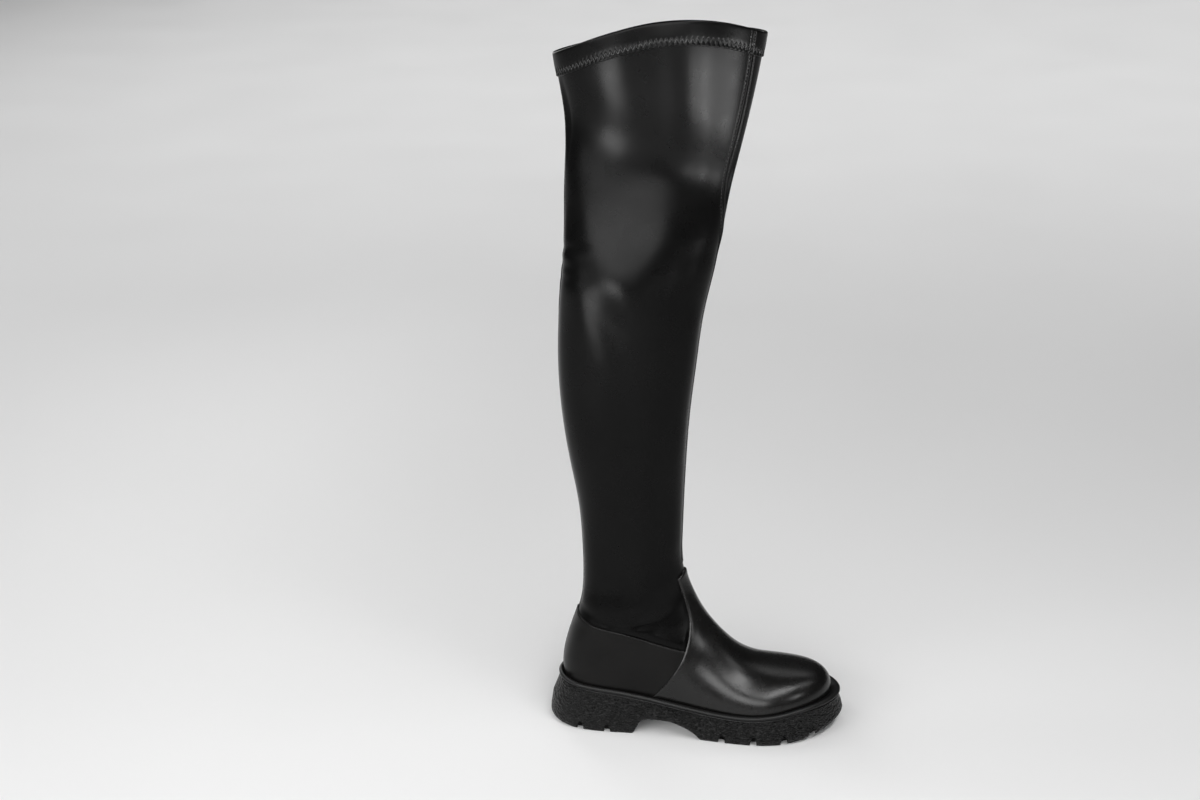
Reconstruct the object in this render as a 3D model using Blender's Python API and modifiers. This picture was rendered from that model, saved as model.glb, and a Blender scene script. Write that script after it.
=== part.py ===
"""Over-the-knee stretch boot for the right foot, standing empty on its sole.

Sizes are millimetres in the tables and metres in the model.  In the tables x
runs from the back of the sole to the toe, y from the outer (lateral, minus)
to the inner (medial, plus) side of the foot, and z up from the floor.
"""
import math

import bpy
import bmesh
import numpy as np
from mathutils import Matrix, Vector

# ----------------------------------------------------------------- main sizes
SOLE_LENGTH = 283.0          # back of the heel to the toe, widest outline
BALL_WIDTH = 93.0            # upper at the ball, along the feather line
HEEL_SEAT_X = 15.0           # back of the feather line
TOE_SEAT_X = 270.0           # front of the feather line
TOE_INSWING = 5.0            # the toe tip lies this far to the inner side
UPPER_WALL = 1.5             # stretch cloth with its coating and lining
OVERLAY_WALL = 1.2           # vamp, counter and collar band leather
GAP = 0.3                    # between one piece and the next
OVERLAY_GAP = 0.45           # under a curved overlay
WELT_HEIGHT = 5.6
INSOLE_THICK = 3.0
GROOVE_DEPTH = 9.0           # cross grooves between the lugs
GROOVE_FLOOR = 3.6
GROOVE_MOUTH = 6.2
BAND_BACK, BAND_FRONT = 1.36, 1.10   # folded hem at the collar, 21 mm high, in steps of the sections
ZIP_WIDTH = 7.0
ZIP_THICK = 1.4
TAB_LENGTH = 23.0
TAB_WIDTH = 7.0
TAB_THICK = 1.4
MID_X, MID_Y = 141.6, 3.65   # centre of the whole boot, put at the origin

# Feather line in plan: half widths as shares of the ball width, by the angle
# round the outline (0 at the heel, 180 at the toe).
PLAN = (
    # name        angle  lateral  medial
    ("heel",        0.0,  0.660,  0.660),
    ("heel round", 30.0,  0.610,  0.610),
    ("seat",       60.0,  0.416,  0.414),
    ("waist",      90.0,  0.415,  0.368),
    ("ball",      120.0,  0.585,  0.560),
    ("toe round", 150.0,  0.640,  0.640),
    ("toe",       180.0,  0.630,  0.630),
)

# Side view of the sole: top face and underside, along the length.
SOLE_TOP = (
    # name      x      z
    ("back",    0.0,  43.0),
    ("heel",   30.0,  41.5),
    ("seat",   63.0,  39.0),
    ("breast", 92.0,  34.6),
    ("shank", 122.0,  29.4),
    ("waist", 151.0,  25.4),
    ("joint", 173.0,  23.7),
    ("ball",  196.0,  23.6),
    ("tread", 221.0,  26.2),
    ("vamp",  242.0,  29.6),
    ("toe",   263.0,  31.5),
    ("tip",   283.0,  32.4),
)
SOLE_BOTTOM = (
    # name           x      z
    ("back",        0.0,   0.0),
    ("heel",       84.0,   0.0),
    ("breast",     91.0,  14.5),
    ("arch back",  99.0,  16.6),
    ("arch front", 121.0, 15.4),
    ("rise",       136.0,  9.5),
    ("corner",     144.0,  4.6),
    ("forefoot",   148.0,  0.0),
    ("ball",       222.0,  0.0),
    ("spring",     246.0,  2.6),
    ("toe",        266.0,  7.4),
    ("tip",        283.0, 13.0),
)
HEEL_GROOVES = (33.0, 59.0)
FOREFOOT_GROOVES = (169.0, 199.0, 228.0, 254.0)

# Rings of the outsole wall: how far each stands out from the feather line.
SOLE_RINGS = (
    # name          heel  side   toe   height (0 underside, 1 top face)
    ("top edge",     5.2,  6.6,  9.0,  1.00),
    ("under welt",   7.2,  6.4,  9.2,  0.86),
    ("wall",        12.2,  7.6, 11.4,  0.55),
    ("flare",       14.2,  9.0, 13.0,  0.24),
    ("edge",        14.6,  9.0, 12.0,  0.09),
    ("tread",        7.5,  6.8,  7.0,  0.00),
)

# Sections of the upper over the foot.  Each lies in a plane across the boot,
# from the feather line at seat_x up to the ridge.
FOOT = (
    # name        at    seat_x  ridge_x ridge_y ridge_z  side  ridge_full
    ("toe tip",   0.0,  270.0,  270.0,   5.0,   35.2,    0.0,  1.10),
    ("toe wall",  2.0,  266.0,  266.2,   5.0,   49.6,   10.0,  1.12),
    ("toe cap",   4.0,  254.0,  254.6,   4.8,   57.0,   20.0,  1.14),
    ("toe top",   6.0,  234.0,  235.5,   4.4,   60.2,   30.0,  1.10),
    ("tread",     7.6,  215.0,  217.5,   4.0,   62.0,   40.0,  1.04),
    ("ball",      9.2,  194.0,  199.0,   3.6,   65.6,   40.0,  0.98),
    ("joint",    10.8,  171.0,  181.5,   3.2,   74.8,   38.0,  0.92),
    ("waist",    12.4,  146.0,  166.0,   3.0,   88.8,   36.2,  0.88),
    ("instep",   14.0,  119.0,  153.0,   3.0,  103.8,   35.2,  0.86),
    ("high",     15.6,   88.0,  143.2,   3.0,  118.2,   34.5,  0.85),
    ("throat",   17.0,   58.0,  137.0,   3.0,  130.2,   34.1,  0.85),
    ("high heel", 18.4,  30.0,  132.4,   3.0,  140.6,   33.9,  0.86),
    ("round",    19.3,   18.6,  130.4,   3.0,  146.0,   33.92, 0.86),
    ("heel",     20.0,   15.0,  129.2,   3.0,  150.0,   34.0,  0.86),
)

# Sections from the heel up the leg, each from the back line to the shin.
LEG = (
    # name        at    back_x back_y back_z  shin_x shin_y shin_z  outer inner  back_full shin_full  rise_out rise_in
    ("heel",     20.0,   15.0,  0.0,   42.7,  129.2,  3.0,  150.0,   34.0, 34.0,   1.24, 0.86,    0.0,  0.0),
    ("counter",  21.0,   14.2,  0.0,   57.0,  128.0,  3.0,  155.0,   34.4, 34.4,   1.24, 0.86,    0.0,  0.0),
    ("bulge",    22.0,   16.2,  0.0,   73.0,  127.0,  3.0,  160.0,   34.0, 34.0,   1.22, 0.86,    0.0,  0.0),
    ("back",     23.0,   20.6,  0.1,   90.0,  126.2,  3.2,  166.0,   32.8, 32.8,   1.18, 0.86,    0.0,  0.0),
    ("edge",     24.2,   26.8,  0.4,  109.0,  125.6,  3.4,  173.5,   31.2, 31.2,   1.12, 0.87,    0.0,  0.0),
    ("tendon",   25.6,   31.4,  0.8,  127.0,  125.4,  3.6,  182.0,   30.2, 30.2,   1.06, 0.88,    0.0,  0.0),
    ("ankle",    27.2,   32.8,  1.4,  150.0,  125.6,  3.8,  194.0,   29.8, 29.8,   1.02, 0.90,    0.0,  0.0),
    ("narrow",   29.2,   31.8,  2.2,  182.0,  126.0,  4.0,  212.0,   30.4, 30.4,   1.00, 0.92,    0.0,  0.0),
    ("low calf", 31.4,   28.6,  2.8,  218.0,  126.6,  4.0,  235.0,   32.0, 32.0,   1.00, 0.94,    0.0,  0.0),
    ("calf",     34.0,   20.6,  1.6,  262.0,  128.0,  2.8,  270.0,   36.0, 33.2,   1.00, 0.95,    0.0,  0.0),
    ("mid calf", 37.0,   13.2,  0.6,  312.0,  130.8,  1.8,  315.0,   38.0, 34.4,   1.00, 0.95,    0.0,  0.0),
    ("full",     40.0,   10.2,  0.0,  360.0,  135.8,  1.2,  361.5,   39.0, 34.4,   1.00, 0.95,    0.0,  0.0),
    ("high calf", 43.0,  11.4,  0.0,  408.0,  141.8,  1.2,  409.5,   40.0, 34.6,   1.00, 0.94,    0.0,  0.0),
    ("knee",     45.4,   14.2,  0.6,  446.0,  150.0,  1.8,  448.0,   39.4, 35.0,   0.98, 0.92,    0.0,  0.0),
    ("hollow",   47.6,   16.2,  2.0,  480.0,  156.8,  3.4,  483.0,   35.4, 33.6,   0.96, 0.90,    1.0,  0.0),
    ("flat",     49.8,   16.2,  3.6,  515.0,  162.8,  5.4,  519.0,   30.6, 32.0,   0.95, 0.88,    3.0,  0.5),
    ("thigh",    52.2,   17.0,  5.4,  552.0,  171.2,  7.4,  557.0,   32.2, 35.0,   0.95, 0.88,    7.0,  1.5),
    ("flare",    54.6,   15.4,  7.6,  588.0,  179.8,  9.6,  596.0,   38.4, 40.0,   0.96, 0.88,   13.0,  3.0),
    ("hem",      56.4,   10.6,  9.4,  616.0,  186.2, 11.4,  630.0,   44.0, 44.0,   0.98, 0.88,   18.5,  4.4),
    ("rim",      57.8,    6.8, 10.6,  638.2,  190.4, 12.6,  657.6,   47.0, 47.0,   1.00, 0.88,   22.0,  5.4),
)

# Side outlines of the leather panels.
VAMP_EDGE = (
    # name        x      z
    ("sole",    100.0,  36.0),
    ("low",     118.5,  58.5),
    ("quarter", 127.0,  72.0),
    ("joint",   132.0,  85.5),
    ("side",    134.2,  97.0),
    ("instep",  133.8, 110.6),
    ("waist",   130.6, 124.0),
    ("top",     125.6, 139.8),
    ("corner",  122.6, 150.0),
)
VAMP_PEAK = (130.5, 158.4)   # top of the vamp over the instep
COUNTER_EDGE = (
    # name        x      z
    ("back",     24.0, 113.5),
    ("turn",     36.4, 108.7),
    ("side",     52.0, 105.8),
    ("middle",   66.0, 103.2),
    ("front",    81.0,  98.8),
    ("low",     101.0,  92.3),
    ("joint",   132.0,  83.6),
)
ZIP_LINE = (
    # name       x      z
    ("bottom",  96.0, 104.0),
    ("ankle",   84.0, 180.0),
    ("calf",    76.0, 250.0),
    ("top",     73.0, 300.0),
)
SLIDER_AT = (73.2, 296.0)    # side view place of the slider, zip closed


# ------------------------------------------------------------------- helpers
def spline(xs, ys):
    """Smooth curve through the rows of a table (not-a-knot cubic)."""
    xs = np.asarray(xs, float)
    ys = np.asarray(ys, float)
    n = len(xs)
    h = np.diff(xs)
    a = np.zeros((n, n))
    b = np.zeros(n)
    for i in range(1, n - 1):
        a[i, i - 1:i + 2] = h[i - 1], 2 * (h[i - 1] + h[i]), h[i]
        b[i] = 6 * ((ys[i + 1] - ys[i]) / h[i] - (ys[i] - ys[i - 1]) / h[i - 1])
    a[0, :3] = h[1], -(h[0] + h[1]), h[0]
    a[-1, -3:] = h[-1], -(h[-2] + h[-1]), h[-2]
    m = np.linalg.solve(a, b)

    def at(x):
        x = np.asarray(x, float)
        i = np.clip(np.searchsorted(xs, x) - 1, 0, n - 2)
        t0, t1 = xs[i + 1] - x, x - xs[i]
        hi = h[i]
        return ((m[i] * t0 ** 3 + m[i + 1] * t1 ** 3) / (6 * hi)
                + (ys[i] / hi - m[i] * hi / 6) * t0 + (ys[i + 1] / hi - m[i + 1] * hi / 6) * t1)
    return at


def column(table, key, value):
    rows = np.array([r[1:] for r in table], float)
    return spline(rows[:, key], rows[:, value])


def gentle(table):
    """Straight runs between rows with rounded turns (no overshoot)."""
    rows = np.array([r[1:] for r in table], float)

    def at(x):
        x = np.asarray(x, float)
        return sum(np.interp(x + d, rows[:, 0], rows[:, 1]) for d in (-1.5, -0.5, 0.5, 1.5)) / 4
    return at


plan_lat = column(PLAN, 0, 1)
plan_med = column(PLAN, 0, 2)
sole_top = column(SOLE_TOP, 0, 1)
sole_under = gentle(SOLE_BOTTOM)


def plan_centre(x):
    t = np.clip((np.asarray(x, float) - HEEL_SEAT_X) / (TOE_SEAT_X - HEEL_SEAT_X), 0, 1)
    return TOE_INSWING * t ** 2


def outline(angle, heel=0.0, side=0.0, toe=0.0):
    """Plan outline standing out from the feather line: x, lateral y, medial y."""
    angle = np.asarray(angle, float)
    x0, x1 = HEEL_SEAT_X - heel, TOE_SEAT_X + toe
    t = (1 - np.cos(np.radians(angle))) / 2
    x = x0 + (x1 - x0) * t
    s = np.sin(np.radians(angle))
    c = plan_centre(x)
    return (x, c - (plan_lat(angle) * BALL_WIDTH + side) * s,
            c + (plan_med(angle) * BALL_WIDTH + side) * s)


def feather_half(x):
    """Half widths of the feather line at x, lateral and medial."""
    t = np.clip((x - HEEL_SEAT_X) / (TOE_SEAT_X - HEEL_SEAT_X), 0, 1)
    angle = np.degrees(np.arccos(1 - 2 * t))
    s = np.sin(np.radians(angle))
    return plan_lat(angle) * BALL_WIDTH * s, plan_med(angle) * BALL_WIDTH * s


FOOT_COLUMNS = {n: column(FOOT, 0, i) for i, n in enumerate(
    ("at", "seat_x", "ridge_x", "ridge_y", "ridge_z", "side", "full")) if i}
LEG_COLUMNS = {n: column(LEG, 0, i) for i, n in enumerate(
    ("at", "back_x", "back_y", "back_z", "shin_x", "shin_y", "shin_z", "outer", "inner",
     "back_full", "shin_full", "rise_out", "rise_in")) if i}
WIDTH_EASE = 0.085           # softness of the turn between section width and feather width, share of the latter
HEEL_AT = FOOT[-1][1]
RIM_AT = LEG[-1][1]


def soft_max(a, b):
    """The larger of two widths, with a soft turn where they cross."""
    return (a + b + math.sqrt((a - b) ** 2 + (WIDTH_EASE * b) ** 2)) / 2


def section(u):
    """Sizes of one section: back point, front point, widths, fullness."""
    u = float(u)
    if u <= HEEL_AT:
        f = {k: float(v(u)) for k, v in FOOT_COLUMNS.items()}
        x = min(max(f["seat_x"], HEEL_SEAT_X), TOE_SEAT_X)
        lat, med = (float(v) for v in feather_half(x))
        back = np.array([x, float(plan_centre(x)), float(sole_top(x)) + GAP])
        front = np.array([f["ridge_x"], f["ridge_y"], max(f["ridge_z"], back[2])])
        grow = min(1.0, max(0.0, (u - 14.0) / 6.0))
        return dict(back=back, front=front, floor=(lat, med),
                    wide=(soft_max(f["side"], 1.012 * lat), soft_max(f["side"], 1.012 * med)),
                    back_full=1.0 + 0.24 * grow, front_full=f["full"], rise=(0.0, 0.0))
    g = {k: float(v(u)) for k, v in LEG_COLUMNS.items()}
    return dict(back=np.array([g["back_x"], g["back_y"], g["back_z"]]),
                front=np.array([g["shin_x"], g["shin_y"], g["shin_z"]]),
                floor=(0.0, 0.0), wide=(g["outer"], g["inner"]),
                back_full=g["back_full"], front_full=g["shin_full"],
                rise=(g["rise_out"], g["rise_in"]))


def width(sec, side, a):
    """Half width of a section at angle a (0 at the back, pi at the ridge)."""
    w = sec["wide"][side]
    c2 = np.cos(a) ** 2
    full = np.where(a < math.pi / 2, sec["back_full"], sec["front_full"])
    return w * (1 + (full - 1) * c2) * np.sin(a)


def first_angle(sec, side):
    """Angle at which the section leaves the feather line."""
    f = sec["floor"][side]
    if f <= 1e-6:
        return 0.0
    lo, hi = 0.0, math.pi / 2
    for _ in range(60):
        mid = (lo + hi) / 2
        if float(width(sec, side, np.array(mid))) < f:
            lo = mid
        else:
            hi = mid
    return (lo + hi) / 2


def chord_share(a, a0):
    return (math.cos(a0) - np.cos(a)) / (math.cos(a0) + 1)


def angle_of(share, a0):
    return np.arccos(np.clip(math.cos(a0) - np.asarray(share, float) * (math.cos(a0) + 1), -1, 1))


def on_section(sec, side, a, a0):
    """Points of one side of a section (side 0 outer, 1 inner)."""
    a = np.asarray(a, float)
    s = chord_share(a, a0)[..., None]
    p = sec["back"] * (1 - s) + sec["front"] * s
    p = np.array(p)
    p[..., 1] += (-1, 1)[side] * width(sec, side, a)
    p[..., 2] += sec["rise"][side] * np.sin(a) ** 2 * (1 - 0.22 * np.cos(a))
    return p


def skin(u, side, q):
    """Outer face of the upper: q runs 0 at the feather or back line, 1 at the ridge."""
    sec = section(u)
    a0 = first_angle(sec, side)
    return on_section(sec, side, a0 + np.asarray(q, float) * (math.pi - a0), a0)


def raw_normal(u, side, q):
    du = 0.02
    u0, u1 = max(u - du, 0.05), min(max(u + du, 0.09), RIM_AT)
    if u0 < HEEL_AT < u1:
        u0, u1 = (HEEL_AT, u1) if u >= HEEL_AT else (u0, HEEL_AT)
    q0, q1 = np.clip(q - 0.004, 0, 1), np.clip(q + 0.004, 0, 1)
    along = skin(u1, side, q) - skin(u0, side, q)
    mid = min(max(u, 0.07), RIM_AT)
    around = skin(mid, side, q1) - skin(mid, side, q0)
    n = np.cross(along, around) * (-1, 1)[side]
    return n / np.maximum(np.linalg.norm(n, axis=-1, keepdims=True), 1e-12)


def skin_normal(u, side, q):
    """Outward direction; the two sides share one where they meet."""
    q = np.asarray(q, float)
    n = raw_normal(u, side, q)
    seam = q >= 1 - 1e-9
    if u >= HEEL_AT:
        seam |= q <= 1e-9
    if seam.any():
        n[seam] = (raw_normal(u, 0, q) + raw_normal(u, 1, q))[seam]
    return n / np.maximum(np.linalg.norm(n, axis=-1, keepdims=True), 1e-12)


def q_at_share(u, side, share):
    sec = section(u)
    a0 = first_angle(sec, side)
    return (angle_of(share, a0) - a0) / (math.pi - a0)


def locate(x, z):
    """Section and share of its chord that pass a place in the side view."""
    def miss(u):
        s = section(u)
        b, f = s["back"], s["front"]
        return (f[0] - b[0]) * (z - b[2]) - (f[2] - b[2]) * (x - b[0])
    lo, hi = 12.0, RIM_AT
    for _ in range(60):
        mid = (lo + hi) / 2
        if miss(mid) > 0:
            lo = mid
        else:
            hi = mid
    s = section(lo)
    d = s["front"] - s["back"]
    return lo, ((x - s["back"][0]) * d[0] + (z - s["back"][2]) * d[2]) / (d[0] ** 2 + d[2] ** 2)


vamp_x = spline([r[2] for r in VAMP_EDGE], [r[1] for r in VAMP_EDGE])
counter_z = spline([r[1] for r in COUNTER_EDGE], [r[2] for r in COUNTER_EDGE])


# ------------------------------------------------------------ scene and nodes
for old in list(bpy.data.objects):
    bpy.data.objects.remove(old, do_unlink=True)
for group in list(bpy.data.collections):
    bpy.data.collections.remove(group)

parts = bpy.data.collections.new("stretch_boot")
cutters = bpy.data.collections.new("cutters")
for group in (parts, cutters):
    bpy.context.scene.collection.children.link(group)
cutters.hide_render = True


def material(name, colour, roughness, metallic=0.0):
    m = bpy.data.materials.new(name)
    m.use_nodes = True
    b = m.node_tree.nodes["Principled BSDF"]
    b.inputs["Base Color"].default_value = (*colour, 1.0)
    b.inputs["Roughness"].default_value = roughness
    b.inputs["Metallic"].default_value = metallic
    m.diffuse_color = (*colour, 1.0)
    return m


RUBBER = material("black_rubber", (0.020, 0.020, 0.021), 0.62)
WELT = material("welt_rubber", (0.018, 0.018, 0.019), 0.45)
STRETCH = material("stretch_leather", (0.022, 0.022, 0.023), 0.42)
LEATHER = material("smooth_leather", (0.018, 0.018, 0.019), 0.30)
BOARD = material("insole_board", (0.060, 0.058, 0.056), 0.85)
TAPE = material("zip_tape", (0.016, 0.016, 0.017), 0.70)
METAL = material("gunmetal", (0.110, 0.112, 0.118), 0.35, 1.0)


def world(p):
    p = np.asarray(p, float)
    return (p - np.array([MID_X, MID_Y, 0.0])) * 0.001


def node(name, mat, points, faces, group=None, wall=0.0):
    """Object from points (millimetres) and faces; wall thickens it inwards."""
    mesh = bpy.data.meshes.new(name)
    bm = bmesh.new()
    vs = [bm.verts.new(v) for v in world(points)]
    for f in faces:
        loop = []
        for i in f:
            if vs[i] not in loop:
                loop.append(vs[i])
        if len(loop) >= 3:
            try:
                bm.faces.new(loop)
            except ValueError:
                pass
    bmesh.ops.remove_doubles(bm, verts=bm.verts, dist=2e-6)
    bmesh.ops.dissolve_degenerate(bm, edges=bm.edges, dist=1e-7)
    if not wall:
        bmesh.ops.recalc_face_normals(bm, faces=bm.faces)
    bm.to_mesh(mesh)
    bm.free()
    obj = bpy.data.objects.new(name, mesh)
    (group or parts).objects.link(obj)
    mesh.materials.append(mat)
    for poly in mesh.polygons:
        poly.use_smooth = True
    if wall:
        s = obj.modifiers.new("wall", "SOLIDIFY")
        s.thickness = wall * 0.001
        s.offset = -1.0
        s.use_rim = True
    return obj


def grid_faces(rows, cols, start=0, close=False, turn=False):
    """Quads of a grid of points; turn makes them face the other way."""
    out = []
    for i in range(rows - 1):
        for j in range(cols if close else cols - 1):
            k = (j + 1) % cols
            a, b = start + i * cols + j, start + i * cols + k
            out.append((a + cols, b + cols, b, a) if turn else (a, b, b + cols, a + cols))
    return out


# -------------------------------------------------------------------- outsole
def ring_angles():
    """Stations round the sole, with extra ones at the edges of each groove."""
    x0, x1 = HEEL_SEAT_X - SOLE_RINGS[-1][1], TOE_SEAT_X + SOLE_RINGS[-1][3]

    def at(x):
        return math.degrees(math.acos(1 - 2 * (x - x0) / (x1 - x0)))
    extra = []
    for g in HEEL_GROOVES + FOREFOOT_GROOVES:
        for d in (-GROOVE_MOUTH / 2, -GROOVE_FLOOR / 2, GROOVE_FLOOR / 2, GROOVE_MOUTH / 2):
            extra.append(at(g + d))
    for x in (84.0, 87.5, 91.0, 99.0, 136.0, 144.0, 148.5):
        extra.append(at(x))
    base = [a for a in np.linspace(0, 180, 41) if min(abs(a - e) for e in extra) > 1.6]
    return np.array(sorted(base + extra))


def groove(x):
    """How far the underside is cut up at x."""
    x = np.asarray(x, float)
    d = np.min([np.abs(x - g) for g in HEEL_GROOVES + FOREFOOT_GROOVES], axis=0)
    t = (GROOVE_MOUTH / 2 - d) / ((GROOVE_MOUTH - GROOVE_FLOOR) / 2)
    return GROOVE_DEPTH * np.clip(t, 0, 1)


angles = ring_angles()
tread_x = outline(angles, *SOLE_RINGS[-1][1:4])[0]
cut = groove(tread_x)
rows = []
for name, heel, side, toe, height in SOLE_RINGS:
    x, lat, med = outline(angles, heel, side, toe)
    low = sole_under(x)
    z = low + height * (sole_top(x) - low)
    if height < 0.2:
        z = z + cut * (1 - height)
    rows.append((np.stack([x, lat, z], 1), np.stack([x, med, z], 1)))
n = len(angles)
pts, faces = [], []
for lat, med in rows:
    pts += [lat, med]
pts = np.concatenate(pts)
for r in range(len(rows) - 1):
    for i in range(n - 1):
        for sd in (0, 1):
            a, b = (2 * r + sd) * n + i, (2 * r + 2 + sd) * n + i
            faces.append((a, a + 1, b + 1, b) if sd else (a, b, b + 1, a + 1))
for r in (0, len(rows) - 1):
    for i in range(n - 1):
        a, b = 2 * r * n + i, (2 * r + 1) * n + i
        faces.append((a, a + 1, b + 1, b) if r == 0 else (a, b, b + 1, a + 1))
outsole = node("outsole", RUBBER, pts, faces)

# ----------------------------------------------------------------------- welt
WELT_RING = (
    # name           heel  side  toe   up from the sole top
    ("inner foot",    3.5,  3.5,  3.5,  GAP),
    ("outer foot",    4.9,  6.2,  8.7,  GAP),
    ("groove",        5.2,  6.0,  8.6,  1.0),
    ("round low",     6.4,  7.4, 10.0,  2.2),
    ("round high",    6.3,  7.3,  9.9,  3.8),
    ("crown",         5.2,  6.0,  8.4,  5.2),
    ("inner top",     3.7,  3.7,  3.7,  5.6),
)
angles = np.linspace(0, 180, 37)
loops = []
for name, heel, side, toe, up in WELT_RING:
    x, lat, med = outline(angles, heel, side, toe)
    z = sole_top(np.clip(x, 0, SOLE_LENGTH)) + up
    loops.append(np.concatenate([np.stack([x, lat, z], 1), np.stack([x, med, z], 1)[-2:0:-1]]))
m = len(loops[0])
faces = grid_faces(len(loops), m, close=True)
faces += [((len(loops) - 1) * m + j, (len(loops) - 1) * m + (j + 1) % m, (j + 1) % m, j) for j in range(m)]
welt = node("welt", WELT, np.concatenate(loops), faces)

# --------------------------------------------------------------------- insole
angles = np.linspace(0, 180, 27)
pts, k = [], len(angles)
for up in (GAP, INSOLE_THICK + GAP):
    x, lat, med = outline(angles, -3.4, -3.4, -3.4)
    z = sole_top(x) + up
    pts += [np.stack([x, lat, z], 1), np.stack([x, med, z], 1)]
faces = []
for i in range(k - 1):
    faces += [(i, i + 1, k + i + 1, k + i), (2 * k + i, 3 * k + i, 3 * k + i + 1, 2 * k + i + 1),
              (i, 2 * k + i, 2 * k + i + 1, i + 1), (k + i, k + i + 1, 3 * k + i + 1, 3 * k + i)]
insole = node("insole", BOARD, np.concatenate(pts), faces)

# ---------------------------------------------------------------------- upper
FOOT_AT = [0.0, 0.8, 1.6, 2.4, 3.3, 4.3, 5.4, 6.6, 7.9, 9.2, 10.5, 11.8, 13.1, 14.4, 15.6,
           16.7, 17.7, 18.5, 19.1, 19.6, 20.0]
LEG_AT = [20.5, 21.1, 21.8, 22.6, 23.4, 24.2, 25.0, 25.8, 26.8, 28.0, 29.3, 30.7, 32.2,
          33.8, 35.5, 37.3, 39.1, 40.9, 42.7, 44.4, 45.9, 47.3, 48.8, 50.3, 51.8, 53.2,
          54.5, 55.6, 56.6, RIM_AT]
AROUND = 13
AT = FOOT_AT + LEG_AT
share = np.linspace(0, 1, AROUND + 1)
pts, faces = [], []
for side in (0, 1):
    start = sum(len(p) for p in pts)
    for u in AT:
        pts.append(skin(u, side, share))
    faces += grid_faces(len(AT), AROUND + 1, start, turn=side == 1)
upper = node("upper", STRETCH, np.concatenate(pts), faces, wall=UPPER_WALL)


# ----------------------------------------------------------- leather overlays
def overlay_points(u, side, qs, lift):
    p = skin(u, side, qs) + skin_normal(u, side, qs) * lift
    p[..., 2] = np.maximum(p[..., 2], sole_top(np.clip(p[..., 0], 0, SOLE_LENGTH)) + 3 * GAP)
    return p


LIFT = OVERLAY_GAP + OVERLAY_WALL


def shell(name, mat, stations):
    """Overlay shell that follows the upper along the given sections."""
    pts, faces = [], []
    for side in (0, 1):
        start = sum(len(p) for p in pts)
        for u in stations:
            if u == 0:
                tip = skin(0.0, 0, np.array([0.0])) + (LIFT, 0, 2 * GAP)
                pts.append(np.repeat(tip, AROUND + 1, axis=0))
            else:
                pts.append(overlay_points(u, side, share, LIFT))
        faces += grid_faces(len(stations), AROUND + 1, start, turn=side == 1)
    return node(name, mat, np.concatenate(pts), faces, wall=OVERLAY_WALL)


def prism(name, edge):
    """Side view outline carried straight across the boot, as a cutter."""
    k = len(edge)
    pts = [(x, -90.0, z) for x, z in edge] + [(x, 90.0, z) for x, z in edge]
    faces = [tuple(range(k)), tuple(range(2 * k - 1, k - 1, -1))]
    faces += [(i, (i + 1) % k, k + (i + 1) % k, k + i) for i in range(k)]
    o = node(name, RUBBER, np.array(pts), faces, cutters)
    o.hide_render = True
    o.display_type = "WIRE"
    return o


def boolean(o, tool, op):
    b = o.modifiers.new(tool.name, "BOOLEAN")
    b.object = tool
    b.operation = op
    b.solver = "EXACT"


steps = np.linspace(VAMP_EDGE[0][2], VAMP_EDGE[-1][2], 16)
back_edge = [(float(vamp_x(z)), float(z)) for z in steps]
slope = (VAMP_PEAK[1] - VAMP_EDGE[-1][2]) / (VAMP_PEAK[0] - VAMP_EDGE[-1][1])
vamp_side = back_edge + [(150.0, VAMP_PEAK[1] + slope * (150.0 - VAMP_PEAK[0])), (320.0, 190.0),
                         (320.0, 5.0), (90.0, 5.0)]
vamp = shell("vamp", LEATHER, [u for u in AT if u < 22.9])
boolean(vamp, prism("vamp_outline", vamp_side), "INTERSECT")

steps = np.linspace(COUNTER_EDGE[0][1], COUNTER_EDGE[-1][1] - 2 * GAP, 14)
counter_side = [(-20.0, COUNTER_EDGE[0][2] + 3.0)] + [(float(x), float(counter_z(x))) for x in steps]
counter_side += [(x - 2 * GAP, z) for x, z in reversed(back_edge) if z < COUNTER_EDGE[-1][2] - 1.0]
counter_side += [(90.0, 5.0), (-20.0, 5.0)]
counter = shell("counter", LEATHER, [u for u in AT if 12.8 < u < 26.9])
boolean(counter, prism("counter_outline", counter_side), "INTERSECT")

BAND_ROWS = 4
pts, faces = [], []
for side in (0, 1):
    start = sum(len(p) for p in pts)
    for t in np.linspace(1, 0, BAND_ROWS):
        pts.append(np.concatenate([overlay_points(RIM_AT - t * (BAND_BACK + (BAND_FRONT - BAND_BACK) * q), side,
                                                  np.array([q]), LIFT) for q in share]))
    faces += grid_faces(BAND_ROWS, AROUND + 1, start, turn=side == 1)
band = node("collar_band", STRETCH, np.concatenate(pts), faces, wall=OVERLAY_WALL)


# ------------------------------------------------------------------------ zip
def inner_place(x, z, lift):
    """Point on the inner side of the leg at a place of the side view."""
    u, s = locate(x, z)
    q = np.array([float(q_at_share(u, 1, s))])
    return (skin(u, 1, q) + skin_normal(u, 1, q) * lift)[0], skin_normal(u, 1, q)[0]


zip_x = spline([r[2] for r in ZIP_LINE], [r[1] for r in ZIP_LINE])
heights = np.linspace(ZIP_LINE[0][2], ZIP_LINE[-1][2], 17)
pts = []
for z in heights:
    for d in (-0.5, 0.0, 0.5):
        pts.append(inner_place(float(zip_x(z)) + d * ZIP_WIDTH, float(z), GAP + ZIP_THICK)[0])
chain = node("zip_chain", TAPE, np.array(pts), grid_faces(len(heights), 3, turn=True), wall=ZIP_THICK)

seat, face = inner_place(*SLIDER_AT, GAP + ZIP_THICK + GAP)
above = inner_place(float(zip_x(299.0)), 299.0, 0)[0] - inner_place(float(zip_x(285.0)), 285.0, 0)[0]
face = Vector(face).normalized()
along = Vector(above).normalized()
along = (along - face * along.dot(face)).normalized()
across = along.cross(face).normalized()
FRAME = Matrix((across, along, face)).transposed()


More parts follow.
